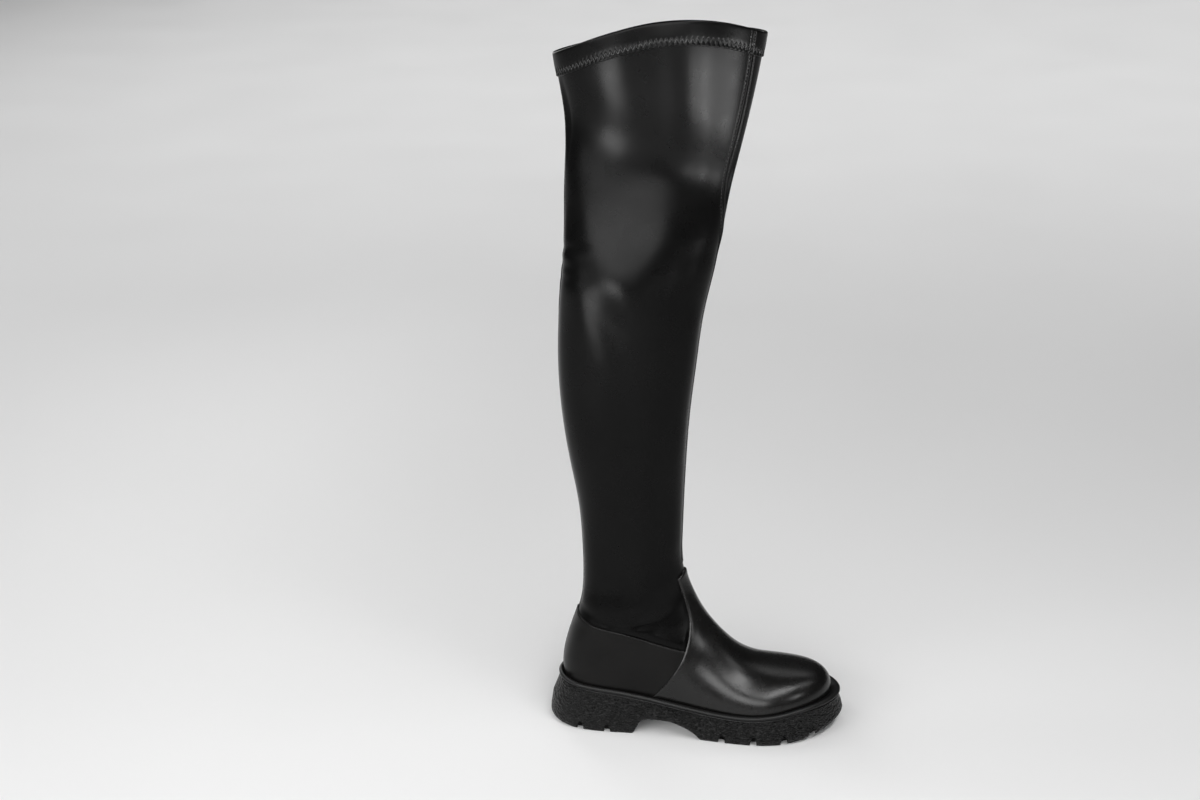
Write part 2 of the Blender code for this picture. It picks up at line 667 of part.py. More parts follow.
def block(name, mat, size, place, group=None, bevel=0.0):
    """Box in the slider's own frame: across, along and out, millimetres."""
    bpy.ops.mesh.primitive_cube_add(size=1.0)
    o = bpy.context.object
    o.name = name
    o.data.name = name
    for c in list(o.users_collection):
        c.objects.unlink(o)
    (group or parts).objects.link(o)
    o.data.transform(Matrix.Diagonal((*[s * 0.001 for s in size], 1.0)))
    o.data.transform(Matrix.Translation([p * 0.001 for p in place]))
    o.data.materials.append(mat)
    if bevel:
        b = o.modifiers.new("edge", "BEVEL")
        b.width = bevel * 0.001
        b.segments = 1
        b.limit_method = "ANGLE"
    if group is cutters:
        o.hide_render = True
        o.display_type = "WIRE"
    return o


def place_on_leg(objs, origin):
    spot = Vector(world(np.array(origin)))
    turn = FRAME.to_4x4()
    for o in objs:
        o.matrix_world = Matrix.Translation(spot) @ turn


BODY = (8.4, 10.5, 2.6)
BRIDGE_LONG, BRIDGE_WIDE, BRIDGE_HIGH, BRIDGE_THICK = 8.0, 2.0, 2.4, 1.2
slider = block("zip_slider", METAL, BODY, (0, 0, BODY[2] / 2))
arch = block("slider_arch", METAL, (BRIDGE_WIDE, BRIDGE_LONG, BRIDGE_HIGH + BRIDGE_THICK + 0.4),
             (0, 0, BODY[2] - 0.4 + (BRIDGE_HIGH + BRIDGE_THICK + 0.4) / 2), cutters)
gate = block("slider_gate", METAL, (BRIDGE_WIDE + 2.0, BRIDGE_LONG - 2.4, BRIDGE_HIGH),
             (0, 0, BODY[2] + BRIDGE_HIGH / 2), cutters)
boolean(slider, arch, "UNION")
boolean(slider, gate, "DIFFERENCE")
PIN_OUT = BODY[2] + BRIDGE_HIGH / 2
WINDOW_WIDE, WINDOW_LONG = BRIDGE_WIDE + 1.2, 6.4
BAR = 1.3
pull = block("zip_pull", METAL, (TAB_WIDTH, TAB_LENGTH, TAB_THICK), (0, BAR / 2 - TAB_LENGTH / 2, 0))
window = block("tab_window", METAL, (WINDOW_WIDE, WINDOW_LONG, TAB_THICK + 2.0),
               (0, -BAR / 2 - WINDOW_LONG / 2, 0), cutters)
boolean(pull, window, "DIFFERENCE")
place_on_leg((slider, arch, gate), seat)
axis = np.array(seat) + np.array(face) * PIN_OUT
place_on_leg((pull, window), axis)
print("pull axis at", [round(float(v), 6) for v in world(axis)], "direction", [round(v, 6) for v in across],
      "along", [round(v, 6) for v in along], "face", [round(v, 6) for v in face])
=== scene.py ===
"""Looks of the over-the-knee stretch boot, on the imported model's frame.

Sizes are millimetres in the tables and metres in the scene.  In the tables x
runs from the back of the sole to the toe, y from the outer (minus) to the
inner (plus) side of the foot, and z up from the floor.
"""
import math

import bmesh
import bpy
import numpy as np
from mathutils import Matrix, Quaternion, Vector

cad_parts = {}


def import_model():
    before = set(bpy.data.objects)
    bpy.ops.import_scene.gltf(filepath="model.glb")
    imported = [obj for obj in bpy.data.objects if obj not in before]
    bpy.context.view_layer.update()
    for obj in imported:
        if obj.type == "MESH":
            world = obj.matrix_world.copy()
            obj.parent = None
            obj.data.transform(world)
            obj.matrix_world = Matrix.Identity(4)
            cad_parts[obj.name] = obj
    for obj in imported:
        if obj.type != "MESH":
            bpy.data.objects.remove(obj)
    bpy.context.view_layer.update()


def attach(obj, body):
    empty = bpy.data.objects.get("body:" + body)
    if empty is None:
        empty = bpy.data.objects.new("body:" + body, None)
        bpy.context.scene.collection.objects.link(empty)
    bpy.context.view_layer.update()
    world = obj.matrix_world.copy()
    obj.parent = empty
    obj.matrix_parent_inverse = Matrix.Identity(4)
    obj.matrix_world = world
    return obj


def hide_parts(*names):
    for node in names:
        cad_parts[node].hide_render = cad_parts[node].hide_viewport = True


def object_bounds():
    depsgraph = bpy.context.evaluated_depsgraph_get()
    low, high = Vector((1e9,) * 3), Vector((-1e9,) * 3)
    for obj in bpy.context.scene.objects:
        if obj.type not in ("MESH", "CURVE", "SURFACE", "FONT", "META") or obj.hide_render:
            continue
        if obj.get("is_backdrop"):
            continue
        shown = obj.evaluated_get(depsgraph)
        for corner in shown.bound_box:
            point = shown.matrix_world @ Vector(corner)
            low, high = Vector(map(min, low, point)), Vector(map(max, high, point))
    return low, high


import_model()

# ----------------------------------------------------------------- main sizes
SOLE_LENGTH = 283.0          # back of the heel to the toe, widest outline
BALL_WIDTH = 93.0            # upper at the ball, along the feather line
HEEL_SEAT_X = 15.0           # back of the feather line
TOE_SEAT_X = 270.0           # front of the feather line
TOE_INSWING = 5.0            # the toe tip lies this far to the inner side
UPPER_WALL = 1.5             # stretch cloth with its coating and lining
OVERLAY_WALL = 1.2           # vamp, counter and collar band leather
GAP = 0.3                    # between one piece and the next
OVERLAY_GAP = 0.45           # under a curved overlay
WELT_HEIGHT = 5.6
INSOLE_THICK = 3.0
GROOVE_DEPTH = 9.0           # cross grooves between the lugs
GROOVE_FLOOR = 3.6
GROOVE_MOUTH = 6.2
BAND_BACK, BAND_FRONT = 1.36, 1.10   # folded hem at the collar, 21 mm high, in steps of the sections
ZIP_WIDTH = 7.0
ZIP_THICK = 1.4
TAB_LENGTH = 23.0
TAB_WIDTH = 7.0
TAB_THICK = 1.4
MID_X, MID_Y = 141.6, 3.65   # centre of the whole boot, put at the origin

# Feather line in plan: half widths as shares of the ball width, by the angle
# round the outline (0 at the heel, 180 at the toe).
PLAN = (
    # name        angle  lateral  medial
    ("heel",        0.0,  0.660,  0.660),
    ("heel round", 30.0,  0.610,  0.610),
    ("seat",       60.0,  0.416,  0.414),
    ("waist",      90.0,  0.415,  0.368),
    ("ball",      120.0,  0.585,  0.560),
    ("toe round", 150.0,  0.640,  0.640),
    ("toe",       180.0,  0.630,  0.630),
)

# Side view of the sole: top face and underside, along the length.
SOLE_TOP = (
    # name      x      z
    ("back",    0.0,  43.0),
    ("heel",   30.0,  41.5),
    ("seat",   63.0,  39.0),
    ("breast", 92.0,  34.6),
    ("shank", 122.0,  29.4),
    ("waist", 151.0,  25.4),
    ("joint", 173.0,  23.7),
    ("ball",  196.0,  23.6),
    ("tread", 221.0,  26.2),
    ("vamp",  242.0,  29.6),
    ("toe",   263.0,  31.5),
    ("tip",   283.0,  32.4),
)
SOLE_BOTTOM = (
    # name           x      z
    ("back",        0.0,   0.0),
    ("heel",       84.0,   0.0),
    ("breast",     91.0,  14.5),
    ("arch back",  99.0,  16.6),
    ("arch front", 121.0, 15.4),
    ("rise",       136.0,  9.5),
    ("corner",     144.0,  4.6),
    ("forefoot",   148.0,  0.0),
    ("ball",       222.0,  0.0),
    ("spring",     246.0,  2.6),
    ("toe",        266.0,  7.4),
    ("tip",        283.0, 13.0),
)
HEEL_GROOVES = (33.0, 59.0)
FOREFOOT_GROOVES = (169.0, 199.0, 228.0, 254.0)

# Rings of the outsole wall: how far each stands out from the feather line.
SOLE_RINGS = (
    # name          heel  side   toe   height (0 underside, 1 top face)
    ("top edge",     5.2,  6.6,  9.0,  1.00),
    ("under welt",   7.2,  6.4,  9.2,  0.86),
    ("wall",        12.2,  7.6, 11.4,  0.55),
    ("flare",       14.2,  9.0, 13.0,  0.24),
    ("edge",        14.6,  9.0, 12.0,  0.09),
    ("tread",        7.5,  6.8,  7.0,  0.00),
)

# Sections of the upper over the foot.  Each lies in a plane across the boot,
# from the feather line at seat_x up to the ridge.
FOOT = (
    # name        at    seat_x  ridge_x ridge_y ridge_z  side  ridge_full
    ("toe tip",   0.0,  270.0,  270.0,   5.0,   35.2,    0.0,  1.10),
    ("toe wall",  2.0,  266.0,  266.2,   5.0,   49.6,   10.0,  1.12),
    ("toe cap",   4.0,  254.0,  254.6,   4.8,   57.0,   20.0,  1.14),
    ("toe top",   6.0,  234.0,  235.5,   4.4,   60.2,   30.0,  1.10),
    ("tread",     7.6,  215.0,  217.5,   4.0,   62.0,   40.0,  1.04),
    ("ball",      9.2,  194.0,  199.0,   3.6,   65.6,   40.0,  0.98),
    ("joint",    10.8,  171.0,  181.5,   3.2,   74.8,   38.0,  0.92),
    ("waist",    12.4,  146.0,  166.0,   3.0,   88.8,   36.2,  0.88),
    ("instep",   14.0,  119.0,  153.0,   3.0,  103.8,   35.2,  0.86),
    ("high",     15.6,   88.0,  143.2,   3.0,  118.2,   34.5,  0.85),
    ("throat",   17.0,   58.0,  137.0,   3.0,  130.2,   34.1,  0.85),
    ("high heel", 18.4,  30.0,  132.4,   3.0,  140.6,   33.9,  0.86),
    ("round",    19.3,   18.6,  130.4,   3.0,  146.0,   33.92, 0.86),
    ("heel",     20.0,   15.0,  129.2,   3.0,  150.0,   34.0,  0.86),
)

# Sections from the heel up the leg, each from the back line to the shin.
LEG = (
    # name        at    back_x back_y back_z  shin_x shin_y shin_z  outer inner  back_full shin_full  rise_out rise_in
    ("heel",     20.0,   15.0,  0.0,   42.7,  129.2,  3.0,  150.0,   34.0, 34.0,   1.24, 0.86,    0.0,  0.0),
    ("counter",  21.0,   14.2,  0.0,   57.0,  128.0,  3.0,  155.0,   34.4, 34.4,   1.24, 0.86,    0.0,  0.0),
    ("bulge",    22.0,   16.2,  0.0,   73.0,  127.0,  3.0,  160.0,   34.0, 34.0,   1.22, 0.86,    0.0,  0.0),
    ("back",     23.0,   20.6,  0.1,   90.0,  126.2,  3.2,  166.0,   32.8, 32.8,   1.18, 0.86,    0.0,  0.0),
    ("edge",     24.2,   26.8,  0.4,  109.0,  125.6,  3.4,  173.5,   31.2, 31.2,   1.12, 0.87,    0.0,  0.0),
    ("tendon",   25.6,   31.4,  0.8,  127.0,  125.4,  3.6,  182.0,   30.2, 30.2,   1.06, 0.88,    0.0,  0.0),
    ("ankle",    27.2,   32.8,  1.4,  150.0,  125.6,  3.8,  194.0,   29.8, 29.8,   1.02, 0.90,    0.0,  0.0),
    ("narrow",   29.2,   31.8,  2.2,  182.0,  126.0,  4.0,  212.0,   30.4, 30.4,   1.00, 0.92,    0.0,  0.0),
    ("low calf", 31.4,   28.6,  2.8,  218.0,  126.6,  4.0,  235.0,   32.0, 32.0,   1.00, 0.94,    0.0,  0.0),
    ("calf",     34.0,   20.6,  1.6,  262.0,  128.0,  2.8,  270.0,   36.0, 33.2,   1.00, 0.95,    0.0,  0.0),
    ("mid calf", 37.0,   13.2,  0.6,  312.0,  130.8,  1.8,  315.0,   38.0, 34.4,   1.00, 0.95,    0.0,  0.0),
    ("full",     40.0,   10.2,  0.0,  360.0,  135.8,  1.2,  361.5,   39.0, 34.4,   1.00, 0.95,    0.0,  0.0),
    ("high calf", 43.0,  11.4,  0.0,  408.0,  141.8,  1.2,  409.5,   40.0, 34.6,   1.00, 0.94,    0.0,  0.0),
    ("knee",     45.4,   14.2,  0.6,  446.0,  150.0,  1.8,  448.0,   39.4, 35.0,   0.98, 0.92,    0.0,  0.0),
    ("hollow",   47.6,   16.2,  2.0,  480.0,  156.8,  3.4,  483.0,   35.4, 33.6,   0.96, 0.90,    1.0,  0.0),
    ("flat",     49.8,   16.2,  3.6,  515.0,  162.8,  5.4,  519.0,   30.6, 32.0,   0.95, 0.88,    3.0,  0.5),
    ("thigh",    52.2,   17.0,  5.4,  552.0,  171.2,  7.4,  557.0,   32.2, 35.0,   0.95, 0.88,    7.0,  1.5),
    ("flare",    54.6,   15.4,  7.6,  588.0,  179.8,  9.6,  596.0,   38.4, 40.0,   0.96, 0.88,   13.0,  3.0),
    ("hem",      56.4,   10.6,  9.4,  616.0,  186.2, 11.4,  630.0,   44.0, 44.0,   0.98, 0.88,   18.5,  4.4),
    ("rim",      57.8,    6.8, 10.6,  638.2,  190.4, 12.6,  657.6,   47.0, 47.0,   1.00, 0.88,   22.0,  5.4),
)

# Side outlines of the leather panels.
VAMP_EDGE = (
    # name        x      z
    ("sole",    100.0,  36.0),
    ("low",     118.5,  58.5),
    ("quarter", 127.0,  72.0),
    ("joint",   132.0,  85.5),
    ("side",    134.2,  97.0),
    ("instep",  133.8, 110.6),
    ("waist",   130.6, 124.0),
    ("top",     125.6, 139.8),
    ("corner",  122.6, 150.0),
)
VAMP_PEAK = (130.5, 158.4)   # top of the vamp over the instep
COUNTER_EDGE = (
    # name        x      z
    ("back",     24.0, 113.5),
    ("turn",     36.4, 108.7),
    ("side",     52.0, 105.8),
    ("middle",   66.0, 103.2),
    ("front",    81.0,  98.8),
    ("low",     101.0,  92.3),
    ("joint",   132.0,  83.6),
)
ZIP_LINE = (
    # name       x      z
    ("bottom",  96.0, 104.0),
    ("ankle",   84.0, 180.0),
    ("calf",    76.0, 250.0),
    ("top",     73.0, 300.0),
)
SLIDER_AT = (73.2, 296.0)    # side view place of the slider, zip closed


# ------------------------------------------------------------------- helpers
def spline(xs, ys):
    """Smooth curve through the rows of a table (not-a-knot cubic)."""
    xs = np.asarray(xs, float)
    ys = np.asarray(ys, float)
    n = len(xs)
    h = np.diff(xs)
    a = np.zeros((n, n))
    b = np.zeros(n)
    for i in range(1, n - 1):
        a[i, i - 1:i + 2] = h[i - 1], 2 * (h[i - 1] + h[i]), h[i]
        b[i] = 6 * ((ys[i + 1] - ys[i]) / h[i] - (ys[i] - ys[i - 1]) / h[i - 1])
    a[0, :3] = h[1], -(h[0] + h[1]), h[0]
    a[-1, -3:] = h[-1], -(h[-2] + h[-1]), h[-2]
    m = np.linalg.solve(a, b)

    def at(x):
        x = np.asarray(x, float)
        i = np.clip(np.searchsorted(xs, x) - 1, 0, n - 2)
        t0, t1 = xs[i + 1] - x, x - xs[i]
        hi = h[i]
        return ((m[i] * t0 ** 3 + m[i + 1] * t1 ** 3) / (6 * hi)
                + (ys[i] / hi - m[i] * hi / 6) * t0 + (ys[i + 1] / hi - m[i + 1] * hi / 6) * t1)
    return at


def column(table, key, value):
    rows = np.array([r[1:] for r in table], float)
    return spline(rows[:, key], rows[:, value])


def gentle(table):
    """Straight runs between rows with rounded turns (no overshoot)."""
    rows = np.array([r[1:] for r in table], float)

    def at(x):
        x = np.asarray(x, float)
        return sum(np.interp(x + d, rows[:, 0], rows[:, 1]) for d in (-1.5, -0.5, 0.5, 1.5)) / 4
    return at


plan_lat = column(PLAN, 0, 1)
plan_med = column(PLAN, 0, 2)
sole_top = column(SOLE_TOP, 0, 1)
sole_under = gentle(SOLE_BOTTOM)


def plan_centre(x):
    t = np.clip((np.asarray(x, float) - HEEL_SEAT_X) / (TOE_SEAT_X - HEEL_SEAT_X), 0, 1)
    return TOE_INSWING * t ** 2


def outline(angle, heel=0.0, side=0.0, toe=0.0):
    """Plan outline standing out from the feather line: x, lateral y, medial y."""
    angle = np.asarray(angle, float)
    x0, x1 = HEEL_SEAT_X - heel, TOE_SEAT_X + toe
    t = (1 - np.cos(np.radians(angle))) / 2
    x = x0 + (x1 - x0) * t
    s = np.sin(np.radians(angle))
    c = plan_centre(x)
    return (x, c - (plan_lat(angle) * BALL_WIDTH + side) * s,
            c + (plan_med(angle) * BALL_WIDTH + side) * s)


def feather_half(x):
    """Half widths of the feather line at x, lateral and medial."""
    t = np.clip((x - HEEL_SEAT_X) / (TOE_SEAT_X - HEEL_SEAT_X), 0, 1)
    angle = np.degrees(np.arccos(1 - 2 * t))
    s = np.sin(np.radians(angle))
    return plan_lat(angle) * BALL_WIDTH * s, plan_med(angle) * BALL_WIDTH * s


FOOT_COLUMNS = {n: column(FOOT, 0, i) for i, n in enumerate(
    ("at", "seat_x", "ridge_x", "ridge_y", "ridge_z", "side", "full")) if i}
LEG_COLUMNS = {n: column(LEG, 0, i) for i, n in enumerate(
    ("at", "back_x", "back_y", "back_z", "shin_x", "shin_y", "shin_z", "outer", "inner",
     "back_full", "shin_full", "rise_out", "rise_in")) if i}
WIDTH_EASE = 0.085           # softness of the turn between section width and feather width, share of the latter
HEEL_AT = FOOT[-1][1]
RIM_AT = LEG[-1][1]


def soft_max(a, b):
    """The larger of two widths, with a soft turn where they cross."""
    return (a + b + math.sqrt((a - b) ** 2 + (WIDTH_EASE * b) ** 2)) / 2


def section(u):
    """Sizes of one section: back point, front point, widths, fullness."""
    u = float(u)
    if u <= HEEL_AT:
        f = {k: float(v(u)) for k, v in FOOT_COLUMNS.items()}
        x = min(max(f["seat_x"], HEEL_SEAT_X), TOE_SEAT_X)
        lat, med = (float(v) for v in feather_half(x))
        back = np.array([x, float(plan_centre(x)), float(sole_top(x)) + GAP])
        front = np.array([f["ridge_x"], f["ridge_y"], max(f["ridge_z"], back[2])])
        grow = min(1.0, max(0.0, (u - 14.0) / 6.0))
        return dict(back=back, front=front, floor=(lat, med),
                    wide=(soft_max(f["side"], 1.012 * lat), soft_max(f["side"], 1.012 * med)),
                    back_full=1.0 + 0.24 * grow, front_full=f["full"], rise=(0.0, 0.0))
    g = {k: float(v(u)) for k, v in LEG_COLUMNS.items()}
    return dict(back=np.array([g["back_x"], g["back_y"], g["back_z"]]),
                front=np.array([g["shin_x"], g["shin_y"], g["shin_z"]]),
                floor=(0.0, 0.0), wide=(g["outer"], g["inner"]),
                back_full=g["back_full"], front_full=g["shin_full"],
                rise=(g["rise_out"], g["rise_in"]))


def width(sec, side, a):
    """Half width of a section at angle a (0 at the back, pi at the ridge)."""
    w = sec["wide"][side]
    c2 = np.cos(a) ** 2
    full = np.where(a < math.pi / 2, sec["back_full"], sec["front_full"])
    return w * (1 + (full - 1) * c2) * np.sin(a)


def first_angle(sec, side):
    """Angle at which the section leaves the feather line."""
    f = sec["floor"][side]
    if f <= 1e-6:
        return 0.0
    lo, hi = 0.0, math.pi / 2
    for _ in range(60):
        mid = (lo + hi) / 2
        if float(width(sec, side, np.array(mid))) < f:
            lo = mid
        else:
            hi = mid
    return (lo + hi) / 2


def chord_share(a, a0):
    return (math.cos(a0) - np.cos(a)) / (math.cos(a0) + 1)


def angle_of(share, a0):
    return np.arccos(np.clip(math.cos(a0) - np.asarray(share, float) * (math.cos(a0) + 1), -1, 1))


def on_section(sec, side, a, a0):
    """Points of one side of a section (side 0 outer, 1 inner)."""
    a = np.asarray(a, float)
    s = chord_share(a, a0)[..., None]
    p = sec["back"] * (1 - s) + sec["front"] * s
    p = np.array(p)
    p[..., 1] += (-1, 1)[side] * width(sec, side, a)
    p[..., 2] += sec["rise"][side] * np.sin(a) ** 2 * (1 - 0.22 * np.cos(a))
    return p


def skin(u, side, q):
    """Outer face of the upper: q runs 0 at the feather or back line, 1 at the ridge."""
    sec = section(u)
    a0 = first_angle(sec, side)
    return on_section(sec, side, a0 + np.asarray(q, float) * (math.pi - a0), a0)


def raw_normal(u, side, q):
    du = 0.02
    u0, u1 = max(u - du, 0.05), min(max(u + du, 0.09), RIM_AT)
    if u0 < HEEL_AT < u1:
        u0, u1 = (HEEL_AT, u1) if u >= HEEL_AT else (u0, HEEL_AT)
    q0, q1 = np.clip(q - 0.004, 0, 1), np.clip(q + 0.004, 0, 1)
    along = skin(u1, side, q) - skin(u0, side, q)
    mid = min(max(u, 0.07), RIM_AT)
    around = skin(mid, side, q1) - skin(mid, side, q0)
    n = np.cross(along, around) * (-1, 1)[side]
    return n / np.maximum(np.linalg.norm(n, axis=-1, keepdims=True), 1e-12)


def skin_normal(u, side, q):
    """Outward direction; the two sides share one where they meet."""
    q = np.asarray(q, float)
    n = raw_normal(u, side, q)
    seam = q >= 1 - 1e-9
    if u >= HEEL_AT:
        seam |= q <= 1e-9
    if seam.any():
        n[seam] = (raw_normal(u, 0, q) + raw_normal(u, 1, q))[seam]
    return n / np.maximum(np.linalg.norm(n, axis=-1, keepdims=True), 1e-12)


def q_at_share(u, side, share):
    sec = section(u)
    a0 = first_angle(sec, side)
    return (angle_of(share, a0) - a0) / (math.pi - a0)


def locate(x, z):
    """Section and share of its chord that pass a place in the side view."""
    def miss(u):
        s = section(u)
        b, f = s["back"], s["front"]
        return (f[0] - b[0]) * (z - b[2]) - (f[2] - b[2]) * (x - b[0])
    lo, hi = 12.0, RIM_AT
    for _ in range(60):
        mid = (lo + hi) / 2
        if miss(mid) > 0:
            lo = mid
        else:
            hi = mid
    s = section(lo)
    d = s["front"] - s["back"]
    return lo, ((x - s["back"][0]) * d[0] + (z - s["back"][2]) * d[2]) / (d[0] ** 2 + d[2] ** 2)


vamp_x = spline([r[2] for r in VAMP_EDGE], [r[1] for r in VAMP_EDGE])
counter_z = spline([r[1] for r in COUNTER_EDGE], [r[2] for r in COUNTER_EDGE])


def world(p):
    p = np.asarray(p, float)
    return (p - np.array([MID_X, MID_Y, 0.0])) * 0.001


# ------------------------------------------------------------ relief of the shaft
# Soft troughs (minus) and ridges (plus) of the stretch cloth, in millimetres.
# On the outer and inner face "a" is the place along the boot, on the back and
# front face it is the place across it.
FOLDS = (
    # name                face     a0     z0     a1     z1   width  height
    ("knee crest",       "outer",  30.0, 474.0,  56.0, 448.0, 24.0,  1.5),
    ("knee crest front", "outer",  78.0, 448.0, 110.0, 476.0, 26.0,  1.7),
    ("knee crest tail",  "outer",  70.0, 430.0,  48.0, 452.0, 24.0,  1.0),
    ("thigh hollow",     "outer",  22.0, 582.0, 122.0, 540.0, 32.0, -4.6),
    ("front groove",     "outer", 125.0, 560.0, 126.0, 500.0, 14.0, -0.6),
    ("front rib",        "outer", 139.0, 540.0, 139.0, 486.0, 12.0,  0.25),
    ("top rib",          "outer", 133.0, 640.0, 129.0, 556.0, 22.0,  2.3),
    ("top dip",          "outer",  97.0, 636.0, 103.0, 588.0, 17.0, -1.4),
    ("top back rib",     "outer",  60.0, 630.0,  62.0, 598.0, 20.0,  1.8),
    ("back drape",       "outer",  20.0, 498.0,  56.0, 420.0, 15.0, -1.7),
    ("calf rib",         "outer",  30.0, 428.0,  51.0, 374.0, 14.0,  1.1),
    ("calf dip",         "outer",  66.0, 400.0,  74.0, 318.0, 16.0, -0.9),
    ("shin sheen",       "outer", 108.0, 400.0,  96.0, 250.0, 15.0,  0.8),
    ("shin edge low",    "outer", 119.0, 190.0, 121.5, 275.0,  8.0,  1.3),
    ("shin edge high",   "outer", 123.0, 300.0, 133.0, 396.0,  8.0,  1.3),
    ("heel crease",      "outer",  38.0, 116.0,  60.0, 110.0,  4.6, -0.8),
    ("heel crease run",  "outer",  60.0, 110.0,  90.0, 110.0,  4.6, -0.9),
    ("heel crease end",  "outer",  90.0, 110.0, 112.0, 117.0,  5.0, -0.6),
    ("heel overhang",    "outer",  40.0, 126.0, 100.0, 122.0, 10.0,  0.9),
    ("quarter puff",     "outer",  84.0, 103.0, 122.0,  93.0,  9.0,  2.4),
    ("throat pinch",     "outer", 126.0, 136.0, 112.0, 124.0,  8.0, -0.6),
    ("knee back 1",      "back",  -14.0, 468.0,  12.0, 464.0,  5.0, -0.7),
    ("knee back 2",      "back",  -10.0, 452.0,  16.0, 455.0,  5.0, -0.6),
    ("knee back 3",      "back",  -16.0, 441.0,   4.0, 439.0,  5.0, -0.5),
    ("knee back puff",   "back",  -12.0, 460.0,  14.0, 460.0,  5.0,  0.4),
    ("calf knob",        "back",   16.0, 432.0,  24.0, 428.0, 10.0,  1.0),
    ("calf knob outer",  "back",  -26.0, 434.0, -22.0, 430.0, 11.0,  0.9),
    ("inner hollow",     "inner",  40.0, 560.0, 130.0, 500.0, 22.0, -2.6),
    ("inner crest",      "inner",  50.0, 470.0, 120.0, 452.0, 18.0,  2.0),
    ("inner drape",      "inner",  34.0, 500.0,  64.0, 400.0, 11.0, -2.0),
    ("inner rib",        "inner", 128.0, 600.0, 118.0, 520.0, 16.0,  1.8),
    ("inner calf dip",   "inner", 112.0, 420.0, 100.0, 320.0, 15.0, -1.6),
    ("inner calf rib",   "inner",  40.0, 400.0,  56.0, 300.0, 13.0,  1.3),
    ("inner crease",     "inner",  40.0, 116.0,  80.0, 110.0,  3.6, -1.8),
    ("inner overhang",   "inner",  44.0, 126.0,  84.0, 122.0,  8.0,  1.5),
    ("shin kink",        "front", -14.0, 468.0,  12.0, 466.0, 11.0, -0.6),
)


def smooth(t):
    t = np.clip(t, 0, 1)
    return t * t * (3 - 2 * t)


def relief(p, n):
    """How far the cloth stands off the plain form, at points p with outward n."""
    out = np.zeros(p.shape[:-1])
    see = {"outer": smooth((-n[..., 1] - 0.05) / 0.5), "inner": smooth((n[..., 1] - 0.05) / 0.5),
           "back": smooth((-n[..., 0] - 0.1) / 0.5), "front": smooth((n[..., 0] - 0.1) / 0.5)}
    for name, face, a0, z0, a1, z1, wide, high in FOLDS:
        a = p[..., 0] if face in ("outer", "inner") else p[..., 1]
        z = p[..., 2]
        length = math.hypot(a1 - a0, z1 - z0)
        ca, cz = (a1 - a0) / length, (z1 - z0) / length
        run = (a - a0) * ca + (z - z0) * cz
        off = -(a - a0) * cz + (z - z0) * ca
        past = np.maximum(np.maximum(-run, run - length), 0)
        out += high * np.exp(-(off / wide) ** 2 - (past / (2.4 * wide)) ** 2) * see[face]
    return out


# ------------------------------------------------------------------ mesh helpers
def quads(rows, cols, close=False, flip=False):
    i, j = np.meshgrid(np.arange(rows - 1), np.arange(cols if close else cols - 1), indexing="ij")
    k = (j + 1) % cols
    f = np.stack([i * cols + j, i * cols + k, (i + 1) * cols + k, (i + 1) * cols + j], -1).reshape(-1, 4)
    return f[:, ::-1] if flip else f


def joined(blocks):
    """Points and faces of several blocks as one."""
    pts, faces, start = [], [], 0
    for p, f in blocks:
        p = np.asarray(p, float).reshape(-1, 3)
        pts.append(p)
        faces += [tuple(int(v) + start for v in q) for q in f]
        start += len(p)
    return np.concatenate(pts), faces


def piece(name, pts, faces, mat, nodes=(), body="boot", sharp=None, tidy=True):
    mesh = bpy.data.meshes.new(name)
    mesh.from_pydata(world(np.asarray(pts, float).reshape(-1, 3)).tolist(), [], [tuple(int(v) for v in f) for f in faces])
    if tidy:
        bm = bmesh.new()
        bm.from_mesh(mesh)
        bmesh.ops.remove_doubles(bm, verts=bm.verts, dist=3e-6)
        bmesh.ops.dissolve_degenerate(bm, edges=bm.edges, dist=1e-7)
        bm.to_mesh(mesh)
        bm.free()
    mesh.polygons.foreach_set("use_smooth", [True] * len(mesh.polygons))
    if sharp:
        mesh.set_sharp_from_angle(angle=math.radians(sharp))
    mesh.materials.append(mat)
    mesh.update()
    obj = bpy.data.objects.new(name, mesh)
    bpy.context.scene.collection.objects.link(obj)
    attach(obj, body)
    if nodes:
        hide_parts(*nodes)
    return obj


def spaced(start, stop, pitch):
    """Sections an even distance apart."""
    u = np.linspace(start, stop, 420)
    probe = np.array([skin(v, 0, np.array([0.02, 0.5, 0.98])) for v in u])
    step = np.linalg.norm(np.diff(probe, axis=0), axis=2).max(axis=1)
    run = np.concatenate([[0.0], np.cumsum(step)])
    return np.interp(np.linspace(0, run[-1], int(run[-1] / pitch) + 2), run, u)


def ring(u, n):
    """One section: outer side from back to ridge, then inner side back again."""
    q = np.linspace(0, 1, n + 1)
    return np.concatenate([skin(u, 0, q), skin(u, 1, q)[::-1][1:]])


def normals(g, closed=None):
    du = np.gradient(g, axis=0)
    dr = np.gradient(g, axis=1)
    if closed is not None and closed.any():
        wrap = g[closed, 1] - g[closed, -2]
        dr[closed, 0] = wrap
        dr[closed, -1] = wrap
        both = (du[closed, 0] + du[closed, -1]) / 2
        du[closed, 0] = both
        du[closed, -1] = both
    n = np.cross(dr, du)
    return n / np.maximum(np.linalg.norm(n, axis=-1, keepdims=True), 1e-9)


def skin_grid(us, n):
    """Plain form of the upper as a grid, eased where the foot's sections meet the leg's."""
    g = np.array([ring(u, n) for u in us])
    closed = us >= HEEL_AT - 1e-6
    near = smooth(1 - np.abs(us - HEEL_AT) / 2.6)
    away = smooth(np.minimum(np.arange(2 * n + 1), np.arange(2 * n + 1)[::-1]) / (0.22 * n))
    w = near[1:-1, None, None] * away[None, :, None] * 0.5
    for _ in range(40):
        g[1:-1] += w * ((g[:-2] + g[2:]) / 2 - g[1:-1])
    return g, normals(g, closed), closed


